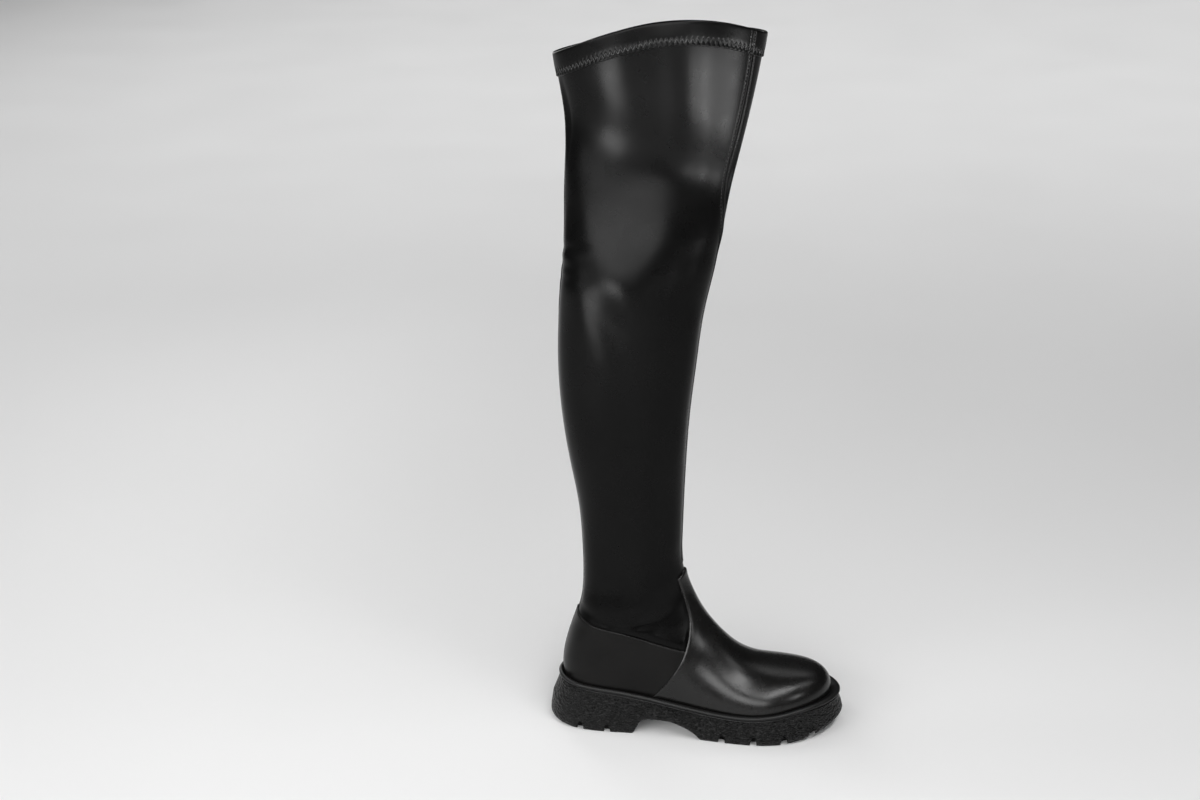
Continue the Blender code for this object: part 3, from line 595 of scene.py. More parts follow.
def ring_near(u, side, q, offsets):
    """Points of a leg section at distances (along the section) from one of its places."""
    n = 150
    r = ring(u, n)[:-1]
    at = (q if side == 0 else 2 - q) * n
    turn = int(round(at)) - n
    r = np.roll(r, -turn, axis=0)
    run = np.concatenate([[0.0], np.cumsum(np.linalg.norm(np.diff(r, axis=0), axis=1))])
    here = np.interp(at - turn, np.arange(len(r)), run)
    return np.stack([np.interp(here + np.asarray(offsets, float), run, r[:, k]) for k in range(3)], -1)


def dressed(g, lift):
    """A strip grid on the folded cloth, raised by lift."""
    n = normals(g)
    g = g + n * relief(g, n)[..., None]
    n = normals(g)
    return g + n * np.asarray(lift, float)[..., None], n


def capsules(mids, along, out, length, radius, flat=0.7):
    """Many small rounded stitches as one block."""
    rings = np.array([(-1.0, 0.0), (-0.86, 0.62), (-0.4, 1.0), (0.4, 1.0), (0.86, 0.62), (1.0, 0.0)])
    sides = 6
    a = np.arange(sides) * 2 * math.pi / sides
    mids, along, out = (np.asarray(v, float) for v in (mids, along, out))
    length = np.broadcast_to(np.asarray(length, float), len(mids))
    across = np.cross(along, out)
    across /= np.linalg.norm(across, axis=1, keepdims=True)
    pts, faces = [], []
    base = quads(len(rings), sides, close=True)
    for i in range(len(mids)):
        p = (mids[i] + rings[:, None, 0, None] * along[i] * length[i] / 2
             + rings[:, None, 1, None] * radius * (np.cos(a)[None, :, None] * across[i]
                                                   + flat * np.sin(a)[None, :, None] * out[i]))
        pts.append(p.reshape(-1, 3))
        faces.append(base + i * len(rings) * sides)
    return np.concatenate(pts), np.concatenate(faces)


def tube(path, radius, sides=8, out=None):
    """Round tube along a path, with closed ends."""
    path = np.asarray(path, float)
    t = np.gradient(path, axis=0)
    t /= np.linalg.norm(t, axis=1, keepdims=True)
    ref = np.array(out if out is not None else (0.0, 0.0, 1.0), float)
    x = np.cross(t, ref)
    x /= np.linalg.norm(x, axis=1, keepdims=True)
    y = np.cross(x, t)
    a = np.arange(sides) * 2 * math.pi / sides
    r = np.broadcast_to(np.asarray(radius, float), len(path))
    p = path[:, None] + r[:, None, None] * (np.cos(a)[None, :, None] * x[:, None] + np.sin(a)[None, :, None] * y[:, None])
    f = [tuple(q) for q in quads(len(path), sides, close=True)]
    f += [tuple(range(sides))[::-1], tuple(range((len(path) - 1) * sides, len(path) * sides))]
    return p.reshape(-1, 3), f


def outline_distance(edge):
    """Signed side view distance to an open edge line: plus to the right of its run."""
    e = np.asarray(edge, float)
    a, d = e[:-1], np.diff(e, axis=0)
    d2 = (d ** 2).sum(1)

    def at(x, z):
        p = np.stack([x, z], -1).reshape(-1, 1, 2)
        t = np.clip(((p - a) * d).sum(-1) / d2, 0, 1)
        v = p - (a + t[..., None] * d)
        dist = np.hypot(v[..., 0], v[..., 1])
        k = dist.argmin(1)
        rows = np.arange(len(k))
        cross = d[k, 0] * v[rows, k, 1] - d[k, 1] * v[rows, k, 0]
        return (dist[rows, k] * np.where(cross <= 0, 1, -1)).reshape(np.shape(x))
    return at


def panel(name, g, n, faces, inside, levels, lift, mat, nodes, keep=None):
    """Leather panel cut from the form where inside >= 0, with loops along its edge."""
    bm = bmesh.new()
    layers = [bm.verts.layers.float.new(k) for k in ("f", "nx", "ny", "nz", "k")]
    flat, fn = g.reshape(-1, 3), n.reshape(-1, 3)
    f = inside(flat)
    k = keep(flat) if keep else np.full(len(flat), 99.0)
    verts = []
    for i in range(len(flat)):
        v = bm.verts.new(flat[i])
        for layer, value in zip(layers, (f[i], *fn[i], k[i])):
            v[layer] = value
        verts.append(v)
    for q in faces:
        loop = [verts[i] for i in q]
        bm.faces.new(loop)
    bm.verts.index_update()

    def cut(layer, level):
        made = set()
        for e in [e for e in bm.edges if (e.verts[0][layer] - level) * (e.verts[1][layer] - level) < 0]:
            a, b = e.verts
            t = (level - a[layer]) / (b[layer] - a[layer])
            values = [a[m] * (1 - t) + b[m] * t for m in layers]
            place = a.co.lerp(b.co, t)
            v = bmesh.utils.edge_split(e, a, t)[1]
            v.co = place
            for m, value in zip(layers, values):
                v[m] = value
            v[layer] = level
            made.add(v)
        for face in {x for v in made for x in v.link_faces}:
            ends = [v for v in face.verts if abs(v[layer] - level) < 1e-7]
            if len(ends) == 2 and not any(set(e.verts) == set(ends) for e in face.edges):
                bmesh.utils.face_split(face, ends[0], ends[1])

    def drop(layer):
        gone = [x for x in bm.faces if sum(v[layer] for v in x.verts) / len(x.verts) < 0]
        bmesh.ops.delete(bm, geom=gone, context="FACES")
    if keep:
        cut(layers[4], 0.0)
        drop(layers[4])
    for level in levels:
        cut(layers[0], level)
        if level == levels[0] == 0.0:
            drop(layers[0])
    for v in bm.verts:
        up = float(np.interp(v[layers[0]], lift[0], lift[1]))
        v.co = v.co + Vector((v[layers[1]], v[layers[2]], v[layers[3]])) * up
        v.co = Vector(world(np.array(v.co)))
    bmesh.ops.remove_doubles(bm, verts=bm.verts, dist=3e-6)
    bmesh.ops.dissolve_degenerate(bm, edges=bm.edges, dist=1e-7)
    mesh = bpy.data.meshes.new(name)
    bm.to_mesh(mesh)
    bm.free()
    mesh.polygons.foreach_set("use_smooth", [True] * len(mesh.polygons))
    mesh.materials.append(mat)
    obj = bpy.data.objects.new(name, mesh)
    bpy.context.scene.collection.objects.link(obj)
    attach(obj, "boot")
    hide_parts(*nodes)
    return obj


# --------------------------------------------------------------------- materials
class Look:
    """Material with procedural colour, roughness and bump on one shader."""

    def __init__(self, name, metallic=0.0, specular=0.5, coat=0.0, coat_rough=0.2, sheen=0.0):
        self.m = bpy.data.materials.new(name)
        self.m.use_nodes = True
        self.t = self.m.node_tree
        self.b = self.t.nodes["Principled BSDF"]
        self.b.inputs["Metallic"].default_value = metallic
        self.b.inputs["Specular IOR Level"].default_value = specular
        self.b.inputs["Coat Weight"].default_value = coat
        self.b.inputs["Coat Roughness"].default_value = coat_rough
        self.b.inputs["Sheen Weight"].default_value = sheen
        self.coord = self.t.nodes.new("ShaderNodeTexCoord").outputs["Object"]
        self.bump_in = None

    def node(self, kind, **values):
        n = self.t.nodes.new("ShaderNode" + kind)
        for k, v in values.items():
            if k in n.inputs:
                if isinstance(v, bpy.types.NodeSocket):
                    self.t.links.new(v, n.inputs[k])
                else:
                    n.inputs[k].default_value = v
            else:
                setattr(n, k, v)
        return n

    def stretch(self, x, y, z):
        return self.node("Mapping", Vector=self.coord, Scale=(x, y, z)).outputs["Vector"]

    def noise(self, scale, detail=3.0, rough=0.55, vector=None, distortion=0.0):
        return self.node("TexNoise", Vector=vector or self.coord, Scale=scale, Detail=detail, Roughness=rough,
                         Distortion=distortion).outputs["Fac"]

    def cells(self, scale, feature="F1", smoothness=0.6, vector=None, randomness=1.0):
        n = self.t.nodes.new("ShaderNodeTexVoronoi")
        n.feature = feature
        self.t.links.new(vector or self.coord, n.inputs["Vector"])
        n.inputs["Scale"].default_value = scale
        n.inputs["Randomness"].default_value = randomness
        if feature == "SMOOTH_F1":
            n.inputs["Smoothness"].default_value = smoothness
        return n.outputs["Distance"]

    def span(self, value, low, high, a=0.3, b=0.7):
        n = self.t.nodes.new("ShaderNodeMapRange")
        self.t.links.new(value, n.inputs["Value"])
        for k, v in zip(("From Min", "From Max", "To Min", "To Max"), (a, b, low, high)):
            n.inputs[k].default_value = v
        return n.outputs["Result"]

    def math(self, op, a, b):
        n = self.t.nodes.new("ShaderNodeMath")
        n.operation = op
        for i, v in enumerate((a, b)):
            if isinstance(v, bpy.types.NodeSocket):
                self.t.links.new(v, n.inputs[i])
            else:
                n.inputs[i].default_value = v
        return n.outputs["Value"]

    def colour(self, value, *stops):
        n = self.t.nodes.new("ShaderNodeValToRGB")
        ramp = n.color_ramp
        while len(ramp.elements) < len(stops):
            ramp.elements.new(0.5)
        for e, (at, c) in zip(ramp.elements, stops):
            e.position = at
            e.color = (*c, 1.0)
        self.t.links.new(value, n.inputs["Fac"])
        self.t.links.new(n.outputs["Color"], self.b.inputs["Base Color"])
        return self

    def rough(self, value, low, high, a=0.3, b=0.7):
        self.t.links.new(self.span(value, low, high, a, b), self.b.inputs["Roughness"])
        return self

    def bump(self, value, strength, distance):
        n = self.t.nodes.new("ShaderNodeBump")
        n.inputs["Strength"].default_value = strength
        n.inputs["Distance"].default_value = distance
        self.t.links.new(value, n.inputs["Height"])
        if self.bump_in is not None:
            self.t.links.new(self.bump_in, n.inputs["Normal"])
        self.bump_in = n.outputs["Normal"]
        self.t.links.new(self.bump_in, self.b.inputs["Normal"])
        return self


def grey(v, warm=0.0):
    return (v * (1 + warm), v, v * (1 - warm))


stretch = Look("stretch_coated_cloth", specular=0.10)
stretch.colour(stretch.noise(16, 4), (0.3, grey(0.0011)), (0.7, grey(0.0021)))
stretch.rough(stretch.noise(42, 4), 0.255, 0.315)
stretch.bump(stretch.cells(950, "SMOOTH_F1"), 0.05, 0.0003)
stretch.bump(stretch.noise(2300, 2), 0.05, 0.0003)
stretch.bump(stretch.noise(30, 2), 0.05, 0.002)

leather = Look("smooth_leather", specular=0.36)
leather.colour(leather.noise(22, 5), (0.3, grey(0.0022, 0.03)), (0.7, grey(0.0042, 0.06)))
leather.rough(leather.noise(60, 5), 0.22, 0.30)
leather.bump(leather.cells(700, "SMOOTH_F1"), 0.05, 0.0003)
leather.bump(leather.noise(70, 4), 0.06, 0.0010)
leather.bump(leather.noise(1500, 3), 0.07, 0.0003)

heel_leather = Look("counter_leather", specular=0.15)
heel_leather.colour(heel_leather.noise(22, 5), (0.3, grey(0.0022, 0.03)), (0.7, grey(0.0042, 0.06)))
heel_leather.rough(heel_leather.noise(60, 5), 0.28, 0.38)
heel_leather.bump(heel_leather.cells(700, "SMOOTH_F1"), 0.05, 0.0003)
heel_leather.bump(heel_leather.noise(70, 4), 0.06, 0.0010)
heel_leather.bump(heel_leather.noise(1500, 3), 0.07, 0.0003)

rubber = Look("pebbled_rubber", specular=0.24)
pebble = rubber.span(rubber.cells(400, "SMOOTH_F1", 0.2, vector=rubber.stretch(0.60, 0.60, 1.15)), 1.0, 0.0, 0.05, 0.75)
crepe = rubber.noise(520, 2, 0.5, vector=rubber.stretch(0.7, 0.7, 1.6))
# colour follows the pebble height: painted shade darkens the hollows between the pebbles, the crests stay lighter
rubber.colour(pebble, (0.2, grey(0.0016)), (0.9, grey(0.0068)))
rubber.rough(rubber.noise(600, 3), 0.30, 0.46)
rubber.bump(pebble, 1.0, 0.0036)
rubber.bump(crepe, 0.9, 0.0014)

rand = Look("welt_rubber", specular=0.3)
rand.colour(rand.noise(90, 4), (0.3, grey(0.0030)), (0.7, grey(0.0055)))
rand.rough(rand.noise(160, 3), 0.36, 0.46)
rand.bump(rand.noise(900, 3), 0.12, 0.0004)

thread = Look("black_thread", specular=0.35)
thread.colour(thread.noise(900, 2), (0.3, grey(0.012)), (0.7, grey(0.034)))
thread.rough(thread.noise(700, 2), 0.45, 0.62)
thread.bump(thread.noise(2600, 2), 0.3, 0.0003)

lining = Look("knit_lining", specular=0.2, sheen=0.15)
weave = lining.math("MULTIPLY", lining.noise(1100, 2), lining.noise(500, 2))
lining.colour(lining.noise(240, 4), (0.3, grey(0.016)), (0.7, grey(0.030)))
lining.rough(lining.noise(300, 2), 0.75, 0.92)
lining.bump(weave, 0.35, 0.0005)

board = Look("insole_cloth", specular=0.25)
board.colour(board.noise(300, 4), (0.3, grey(0.030, 0.03)), (0.7, grey(0.055, 0.03)))
board.rough(board.noise(260, 2), 0.7, 0.9)
board.bump(board.noise(1200, 3), 0.3, 0.0005)

tape = Look("zip_tape", specular=0.25)
tape.colour(tape.noise(800, 3, vector=tape.stretch(1.0, 1.0, 3.0)), (0.3, grey(0.009)), (0.7, grey(0.020)))
tape.rough(tape.noise(500, 2), 0.6, 0.8)
tape.bump(tape.noise(1600, 2, vector=tape.stretch(1.0, 1.0, 2.5)), 0.35, 0.0004)

coil = Look("zip_coil", specular=0.5)
coil.colour(coil.noise(700, 2), (0.3, grey(0.012)), (0.7, grey(0.022)))
coil.rough(coil.noise(500, 2), 0.28, 0.42)
coil.bump(coil.noise(1800, 2), 0.1, 0.0002)

metal = Look("gunmetal", metallic=1.0)
metal.colour(metal.noise(260, 4), (0.3, grey(0.085)), (0.7, grey(0.150)))
metal.rough(metal.noise(900, 3), 0.22, 0.36)
metal.bump(metal.noise(2200, 2), 0.08, 0.0002)

# ----------------------------------------------------------------------- lining
us = np.concatenate([np.linspace(0.15, 20, 46), spaced(20.3, RIM_AT - 0.02, 6.0)])
g = np.array([ring(u, 40) for u in us])
n = normals(g, us >= HEEL_AT - 1e-6)
folds = relief(g, n)
folds = np.minimum(folds, 0) + np.maximum(folds, 0) * smooth((g[..., 2] - 480.0) / 60.0)
piece("lining", g + n * (folds - UPPER_WALL)[..., None], quads(*g.shape[:2], flip=True), lining.m)

# ------------------------------------------------------------------ leather panels
LIFT = OVERLAY_GAP + OVERLAY_WALL
zs = np.linspace(VAMP_EDGE[0][2] - 12, VAMP_EDGE[-1][2], 60)
vamp_back = [(float(vamp_x(max(z, VAMP_EDGE[0][2]))) - max(0.0, VAMP_EDGE[0][2] - z) * 0.9, z) for z in zs]
slope = (VAMP_PEAK[1] - VAMP_EDGE[-1][2]) / (VAMP_PEAK[0] - VAMP_EDGE[-1][1])
vamp_line = vamp_back + [(150.0, VAMP_PEAK[1] + slope * (150.0 - VAMP_PEAK[0]))]
vamp_in = outline_distance(vamp_line)
xs = np.linspace(COUNTER_EDGE[0][1] - 12, COUNTER_EDGE[-1][1] + 4, 60)
counter_line = [(x, float(counter_z(max(x, COUNTER_EDGE[0][1])))) for x in xs]
counter_in = outline_distance(counter_line)

# ---------------------------------------------------------------- stretch shaft
US = spaced(11.0, RIM_AT, 2.05)
SHAFT_G, SHAFT_N, SHAFT_CLOSED = skin_grid(US, 92)
covered = np.maximum(vamp_in(SHAFT_G[..., 0], SHAFT_G[..., 2]), counter_in(SHAFT_G[..., 0], SHAFT_G[..., 2]))
folds = relief(SHAFT_G, SHAFT_N)
folds = np.where(folds > 0, folds * smooth((1.0 - covered) / 4.0), folds * smooth((6.0 - covered) / 5.0))
shaft_face = SHAFT_G + SHAFT_N * folds[..., None]
piece("shaft", shaft_face, quads(*shaft_face.shape[:2]), stretch.m, ("upper",))

# ---------------------------------------------------------------- panels on the form
us = np.concatenate([[0.004, 0.02, 0.05, 0.1, 0.18, 0.28, 0.4], spaced(0.55, 23.4, 1.7)])
g, n, closed = skin_grid(us, 76)
panel("vamp_panel", g, n, quads(*g.shape[:2]), lambda p: vamp_in(p[:, 0], p[:, 2]), (0.0, 0.35, 0.9, 1.8, 3.2),
      ((0.0, 0.35, 0.9, 1.8, 3.2, 7.0, 16.0), (-0.3, 1.35, 2.05, 2.3, 2.3, 2.0, LIFT)),
      leather.m, ("vamp",))
us = spaced(12.6, 27.4, 1.7)
g, n, closed = skin_grid(us, 84)
panel("heel_counter", g, n, quads(*g.shape[:2]), lambda p: counter_in(p[:, 0], p[:, 2]), (0.0, 0.35, 0.9, 1.8, 3.2),
      ((0.0, 0.35, 0.9, 1.8, 3.2, 8.0), (-0.3, 0.95, 1.45, 1.65, 1.6, 1.3)),
      heel_leather.m, ("counter",), keep=lambda p: 5.0 - vamp_in(p[:, 0], p[:, 2]))

# ------------------------------------------------------------------- collar band
BAND_DEEP = 21.4             # height of the folded hem
ZIGZAG_LOW, ZIGZAG_HIGH = 19.2, 14.9
ZIGZAG_PITCH = 4.4
BAND_PROFILE = (
    # below rim, out from the form
    (21.40, -0.20), (21.30, 0.60), (21.10, 1.10), (20.75, 1.45), (20.20, 1.58), (19.60, 1.60), (18.95, 1.60), (18.30, 1.60),
    (17.65, 1.60), (17.00, 1.60), (16.35, 1.60), (15.70, 1.60), (15.05, 1.60), (14.40, 1.60), (13.70, 1.60), (12.80, 1.60),
    (11.50, 1.60), (9.50, 1.60), (7.50, 1.60), (5.50, 1.60), (3.50, 1.60), (2.00, 1.58), (1.10, 1.50), (0.50, 1.28),
    (0.10, 0.92), (-0.15, 0.40), (-0.20, -0.30), (-0.10, -1.05), (0.30, -1.65), (1.10, -2.05), (4.00, -2.25), (9.00, -2.30),
    (16.00, -2.30), (19.60, -2.25), (20.30, -1.90), (20.50, -1.45),
)
ub = np.linspace(RIM_AT - 2.0, RIM_AT, 41)
n_side = 330
gb = np.array([ring(u, n_side) for u in ub])
nb = normals(gb, np.ones(len(ub), bool))
run = np.concatenate([[0.0], np.cumsum(np.linalg.norm(np.diff(gb[-10], axis=0), axis=1))])
periods = int(round(run[-1] / ZIGZAG_PITCH))
cols = periods * 8
where = np.interp(np.arange(cols) * run[-1] / cols, run, np.arange(len(run)))
low = where.astype(int)
part = (where - low)[None, :, None]
gb = gb[:, low] * (1 - part) + gb[:, np.minimum(low + 1, 2 * n_side)] * part
nb = nb[:, low] * (1 - part) + nb[:, np.minimum(low + 1, 2 * n_side)] * part
down = np.concatenate([np.cumsum(np.linalg.norm(np.diff(gb[::-1], axis=0), axis=2), axis=0)])
down = np.concatenate([np.zeros((1, cols)), down])[::-1]
rise = gb[-1] - gb[-3]
rise /= np.linalg.norm(rise, axis=1, keepdims=True)
phase = (np.arange(cols) % 8) / 8.0
zig = 1 - 2 * np.abs(2 * phase - 1)


def on_band(depth, out):
    """Points round the band a given way below the rim and out from the form."""
    p = np.empty((cols, 3))
    m = np.empty((cols, 3))
    for k in range(3):
        for j in range(cols):
            p[j, k] = np.interp(-max(depth, 0.0), -down[:, j], gb[:, j, k])
            m[j, k] = np.interp(-max(depth, 0.0), -down[:, j], nb[:, j, k])
    p = p + rise * max(-depth, 0.0)
    fold = relief(p, m)
    return p + m * (np.asarray(out) + fold)[:, None], m


mid, amp = (ZIGZAG_LOW + ZIGZAG_HIGH) / 2, (ZIGZAG_LOW - ZIGZAG_HIGH) / 2
HEM_SEAMS = (
    # name    place round the hem (half way = shin line), out to the outer side
    ("shin",  0.5, 21.0),
    ("back",  0.0, -6.0),
)
ROW_OUT = 2.5                # stitch rows either side of a seam
spots = [(at * run[-1] - out * (1 if at else -1)) % run[-1] for _, at, out in HEM_SEAMS]
places = np.arange(cols) * run[-1] / cols
from_seam = np.min([np.abs((places - c + run[-1] / 2) % run[-1] - run[-1] / 2) for c in spots], axis=0)
HEM_LEANS = (
    # name         along the boot, width, lean in at the top
    ("mid facet",      104.0,  17.0, 2.2),
    ("shin facet",     148.0,  13.0, 2.4),
    ("back facet",      52.0,  12.0, 0.9),
)
outer = smooth((-nb[-1][:, 1] - 0.1) / 0.4)
lean = sum(mm * np.exp(-((gb[-1][:, 0] - x) / w) ** 2) for _, x, w, mm in HEM_LEANS) * outer
rows = []
for depth, out in BAND_PROFILE:
    o = np.full(cols, out)
    if out > 0:
        o = o + lean * (max(depth, 0.0) / BAND_DEEP - 0.5)
    if 12 < depth < 20.8 and out > 0:
        away = np.abs(depth - (mid + amp * zig)) * 0.45
        o = o - 0.85 * np.exp(-(away / 0.5) ** 2) - 0.20 * np.exp(-(((depth - mid) / 3.4) ** 2))
    if out > 0.5:
        o = o - 0.7 * np.exp(-(from_seam / 0.6) ** 2) - 0.25 * np.exp(-((from_seam - ROW_OUT) / 0.5) ** 2)
    rows.append(on_band(depth, o)[0])
rows = np.array(rows)
piece("collar_hem", rows, quads(len(rows), cols, close=True), stretch.m, ("collar_band",))
hi_p, hi_n = on_band(ZIGZAG_HIGH, np.full(cols, 1.06))
lo_p, lo_n = on_band(ZIGZAG_LOW, np.full(cols, 1.04))
corner = [(lo_p, lo_n), (hi_p, hi_n)]
mids, alongs, outs, lens = [], [], [], []
for k in range(2 * periods):
    a, b = 4 * k % cols, 4 * (k + 1) % cols
    pa = hi_p[a] if k % 2 == 0 else lo_p[a]
    pb = lo_p[b] if k % 2 == 0 else hi_p[b]
    d = pb - pa
    mids.append((pa + pb) / 2)
    lens.append(np.linalg.norm(d) * 0.94)
    alongs.append(d / np.linalg.norm(d))
    outs.append(hi_n[a])
for c in spots:
    for side in (-ROW_OUT, ROW_OUT):
        j = int(round((c + side) / run[-1] * cols)) % cols
        for depth in np.arange(1.8, 20.5, 2.55):
            p, m = on_band(depth, np.full(cols, 1.5))
            q, _ = on_band(depth + 1.0, np.full(cols, 1.5))
            mids.append(p[j])
            alongs.append((q[j] - p[j]) / np.linalg.norm(q[j] - p[j]))
            outs.append(m[j])
            lens.append(2.0)
p, f = capsules(mids, alongs, outs, lens, 0.33)
piece("hem_stitches", p, f, thread.m, tidy=False)

# ------------------------------------------------------------------ shaft seams
FRONT_SEAM = (
    # name      height  out to the outer side from the shin line
    ("throat",   163.0,   0.0),
    ("calf",     300.0,   0.0),
    ("knee",     466.0,   0.5),
    ("above",    507.0,   8.0),
    ("thigh",    541.0,  12.0),
    ("upper",    574.0,  14.4),
    ("hem low",  612.0,  17.0),
    ("hem",      648.0,  20.5),
)
BACK_SEAM = (
    # name      height  out to the outer side from the back line
    ("counter",  112.0,   0.0),
    ("calf",     300.0,  -1.0),
    ("knee",     440.0,  -1.0),
    ("thigh",    560.0,  -4.0),
    ("hem",      625.0,  -6.0),
)
SEAM_ACROSS = np.array([-6.0, -4.6, -3.9, -3.3, -2.9, -2.5, -2.1, -1.6, -1.1, -0.7, -0.4, 0.0,
                        0.4, 0.7, 1.1, 1.6, 2.1, 2.5, 2.9, 3.3, 3.9, 4.6, 6.0])


def seam(name, table, front, double_from):
    """Sewn seam down the shaft, with two rows of stitches above a height."""
    way = gentle(table)
    key = "front" if front else "back"
    us = spaced(20.6, RIM_AT - 0.06, 1.25)
    line, keep = [], []
    for u in us:
        z = section(u)[key][2]
        if table[0][1] <= z:
            keep.append(u)
            q = 1.0 if front else 0.0
            shift = float(way(z)) * (-1 if front else 1)
            line.append(ring_near(u, 0, q, SEAM_ACROSS + shift))
    g = np.array(line)
    heights = g[:, len(SEAM_ACROSS) // 2, 2]
    s = np.abs(SEAM_ACROSS)
    trench = -1.15 * np.exp(-(s / 0.55) ** 2)
    puff = 0.85 * np.exp(-((s - 1.3) / 0.8) ** 2)
    row = -0.55 * np.exp(-((s - ROW_OUT) / 0.45) ** 2) + 0.16 * np.exp(-((s - 3.4) / 0.6) ** 2)
    rest = 0.22 - 0.75 * smooth((s - 3.2) / 2.4)
    two = smooth((heights - double_from) / 26.0)[:, None]
    lift = rest + trench + puff * (0.55 + 0.45 * two) + row * two
    g, n = dressed(g, lift)
    piece(name, g, quads(*g.shape[:2]), stretch.m)
    centre = len(SEAM_ACROSS) // 2
    path = g[:, centre]
    run = np.concatenate([[0.0], np.cumsum(np.linalg.norm(np.diff(path, axis=0), axis=1))])
    mids, alongs, outs = [], [], []
    for sign in (-1, 1):
        j = int(np.argmin(np.abs(SEAM_ACROSS - sign * ROW_OUT)))
        for d in np.arange(1.5, run[-1] - 1.0, 3.3):
            i = np.interp(d, run, np.arange(len(run)))
            a, t = int(i), i - int(i)
            b = min(a + 1, len(run) - 1)
            p = g[a, j] * (1 - t) + g[b, j] * t
            if p[2] < double_from:
                continue
            v = g[min(a + 2, len(run) - 1), j] - g[max(a - 1, 0), j]
            mids.append(p + n[a, j] * 0.10)
            alongs.append(v / np.linalg.norm(v))
            outs.append(n[a, j])
    p, f = capsules(mids, alongs, outs, 2.1, 0.42)
    piece(name + "_stitches", p, f, thread.m, tidy=False)


seam("front_seam", FRONT_SEAM, True, 452.0)
seam("back_seam", BACK_SEAM, False, 396.0)

# counter's closing seam at the back
us = spaced(20.5, 25.6, 0.9)
across = np.array([-2.6, -1.7, -1.1, -0.7, -0.4, 0.0, 0.4, 0.7, 1.1, 1.7, 2.6])
g = np.array([ring_near(u, 0, 0.0, across) for u in us])
g = g[[r for r in range(len(us)) if g[r, 5, 2] < float(counter_z(COUNTER_EDGE[0][1])) - 0.4]]
n = normals(g)
s = np.abs(across)
g = g + n * (1.42 - 0.75 * np.exp(-(s / 0.5) ** 2) + 0.28 * np.exp(-((s - 1.1) / 0.5) ** 2)
             - 0.5 * smooth((s - 1.4) / 1.2))[None, :, None]
piece("counter_seam", g, quads(*g.shape[:2]), leather.m)

# ------------------------------------------------------------------------- sole
heights = np.array([r[4] for r in SOLE_RINGS])[::-1]
margins = [np.array([r[k] for r in SOLE_RINGS])[::-1] for k in (1, 2, 3)]
levels = np.concatenate([[1.0, 0.985, 0.96, 0.93], np.linspace(0.89, 0.2, 13), [0.16, 0.125, 0.095, 0.07, 0.05, 0.03, 0.015, 0.004, 0.0]])


def margin(k, h):
    """How far the wall stands out, rounded into the tread."""
    body = np.interp(h, heights[1:], margins[k][1:])
    return body - (margins[k][1] - margins[k][0]) * max(0.0, 1 - math.sqrt(max(0.0, 1 - (1 - min(h / 0.16, 1)) ** 2)))




def groove(x):
    """Height of the round-topped slots between the lugs."""
    d = np.min([np.abs(x - g) for g in HEEL_GROOVES + FOREFOOT_GROOVES], axis=0)
    return GROOVE_DEPTH * np.sqrt(np.clip(1 - (2 * d / GROOVE_MOUTH) ** 2, 0, 1))


def sole_stations():
    x0, x1 = HEEL_SEAT_X - SOLE_RINGS[-1][1], TOE_SEAT_X + SOLE_RINGS[-1][3]
    extra = []
    for g in HEEL_GROOVES + FOREFOOT_GROOVES:
        for share in (1.12, 1.0, 0.985, 0.93, 0.8, 0.6, 0.35, 0.1):
            extra += [g - share * GROOVE_MOUTH / 2, g + share * GROOVE_MOUTH / 2]
    for x in (82.0, 83.2, 84.4, 86.0, 88.0, 90.0, 92.0, 94.0, 142.0, 144.0, 145.5, 147.0, 148.5, 150.0):
        extra.append(x)
    extra = [math.degrees(math.acos(1 - 2 * (x - x0) / (x1 - x0))) for x in extra]
    base = [a for a in np.linspace(0, 180, 600) if min(abs(a - e) for e in extra) > 0.1]
    return np.array(sorted(base + extra))


angles = sole_stations()
tread_x = outline(angles, *SOLE_RINGS[-1][1:4])[0]
ceiling = sole_under(tread_x) + groove(tread_x)
lat, med = [], []
for h in levels:
    heel, side, toe = (margin(k, h) for k in range(3))
    x, a, b = outline(angles, heel, side, toe)
    low = sole_under(x)
    z = low + h * (sole_top(np.clip(x, 0, SOLE_LENGTH)) - low)
    lips = sole_under(x) + groove(x)
    z = np.where(groove(x) > 0, np.maximum(z, lips), z)
    lat.append(np.stack([x, a, z], 1))
    med.append(np.stack([x, b, z], 1))
lat, med = np.array(lat), np.array(med)
SLOT_REACH = 0.06            # slots go in from each edge, share of the tread's width
near = np.array([0.0, 0.5, 0.9, 1.0, 1.1, 1.4]) * SLOT_REACH
across = np.concatenate([near, np.linspace(0.15, 0.85, 8), 1 - near[::-1]])[:, None, None]
under = lat[-1][None] * (1 - across) + med[-1][None] * across
inside = smooth((np.minimum(across, 1 - across) - SLOT_REACH + 0.006) / 0.012)[..., 0]
under[..., 2] -= groove(tread_x)[None] * inside
across = np.linspace(0, 1, 15)[:, None, None]
top = lat[0][None] * (1 - across) + med[0][None] * across
blocks = [(lat, quads(*lat.shape[:2], flip=True)), (med, quads(*med.shape[:2])),
          (under, quads(*under.shape[:2], flip=True)), (top, quads(*top.shape[:2]))]
p, f = joined(blocks)
piece("lug_sole", p, f, rubber.m, ("outsole",), sharp=38)

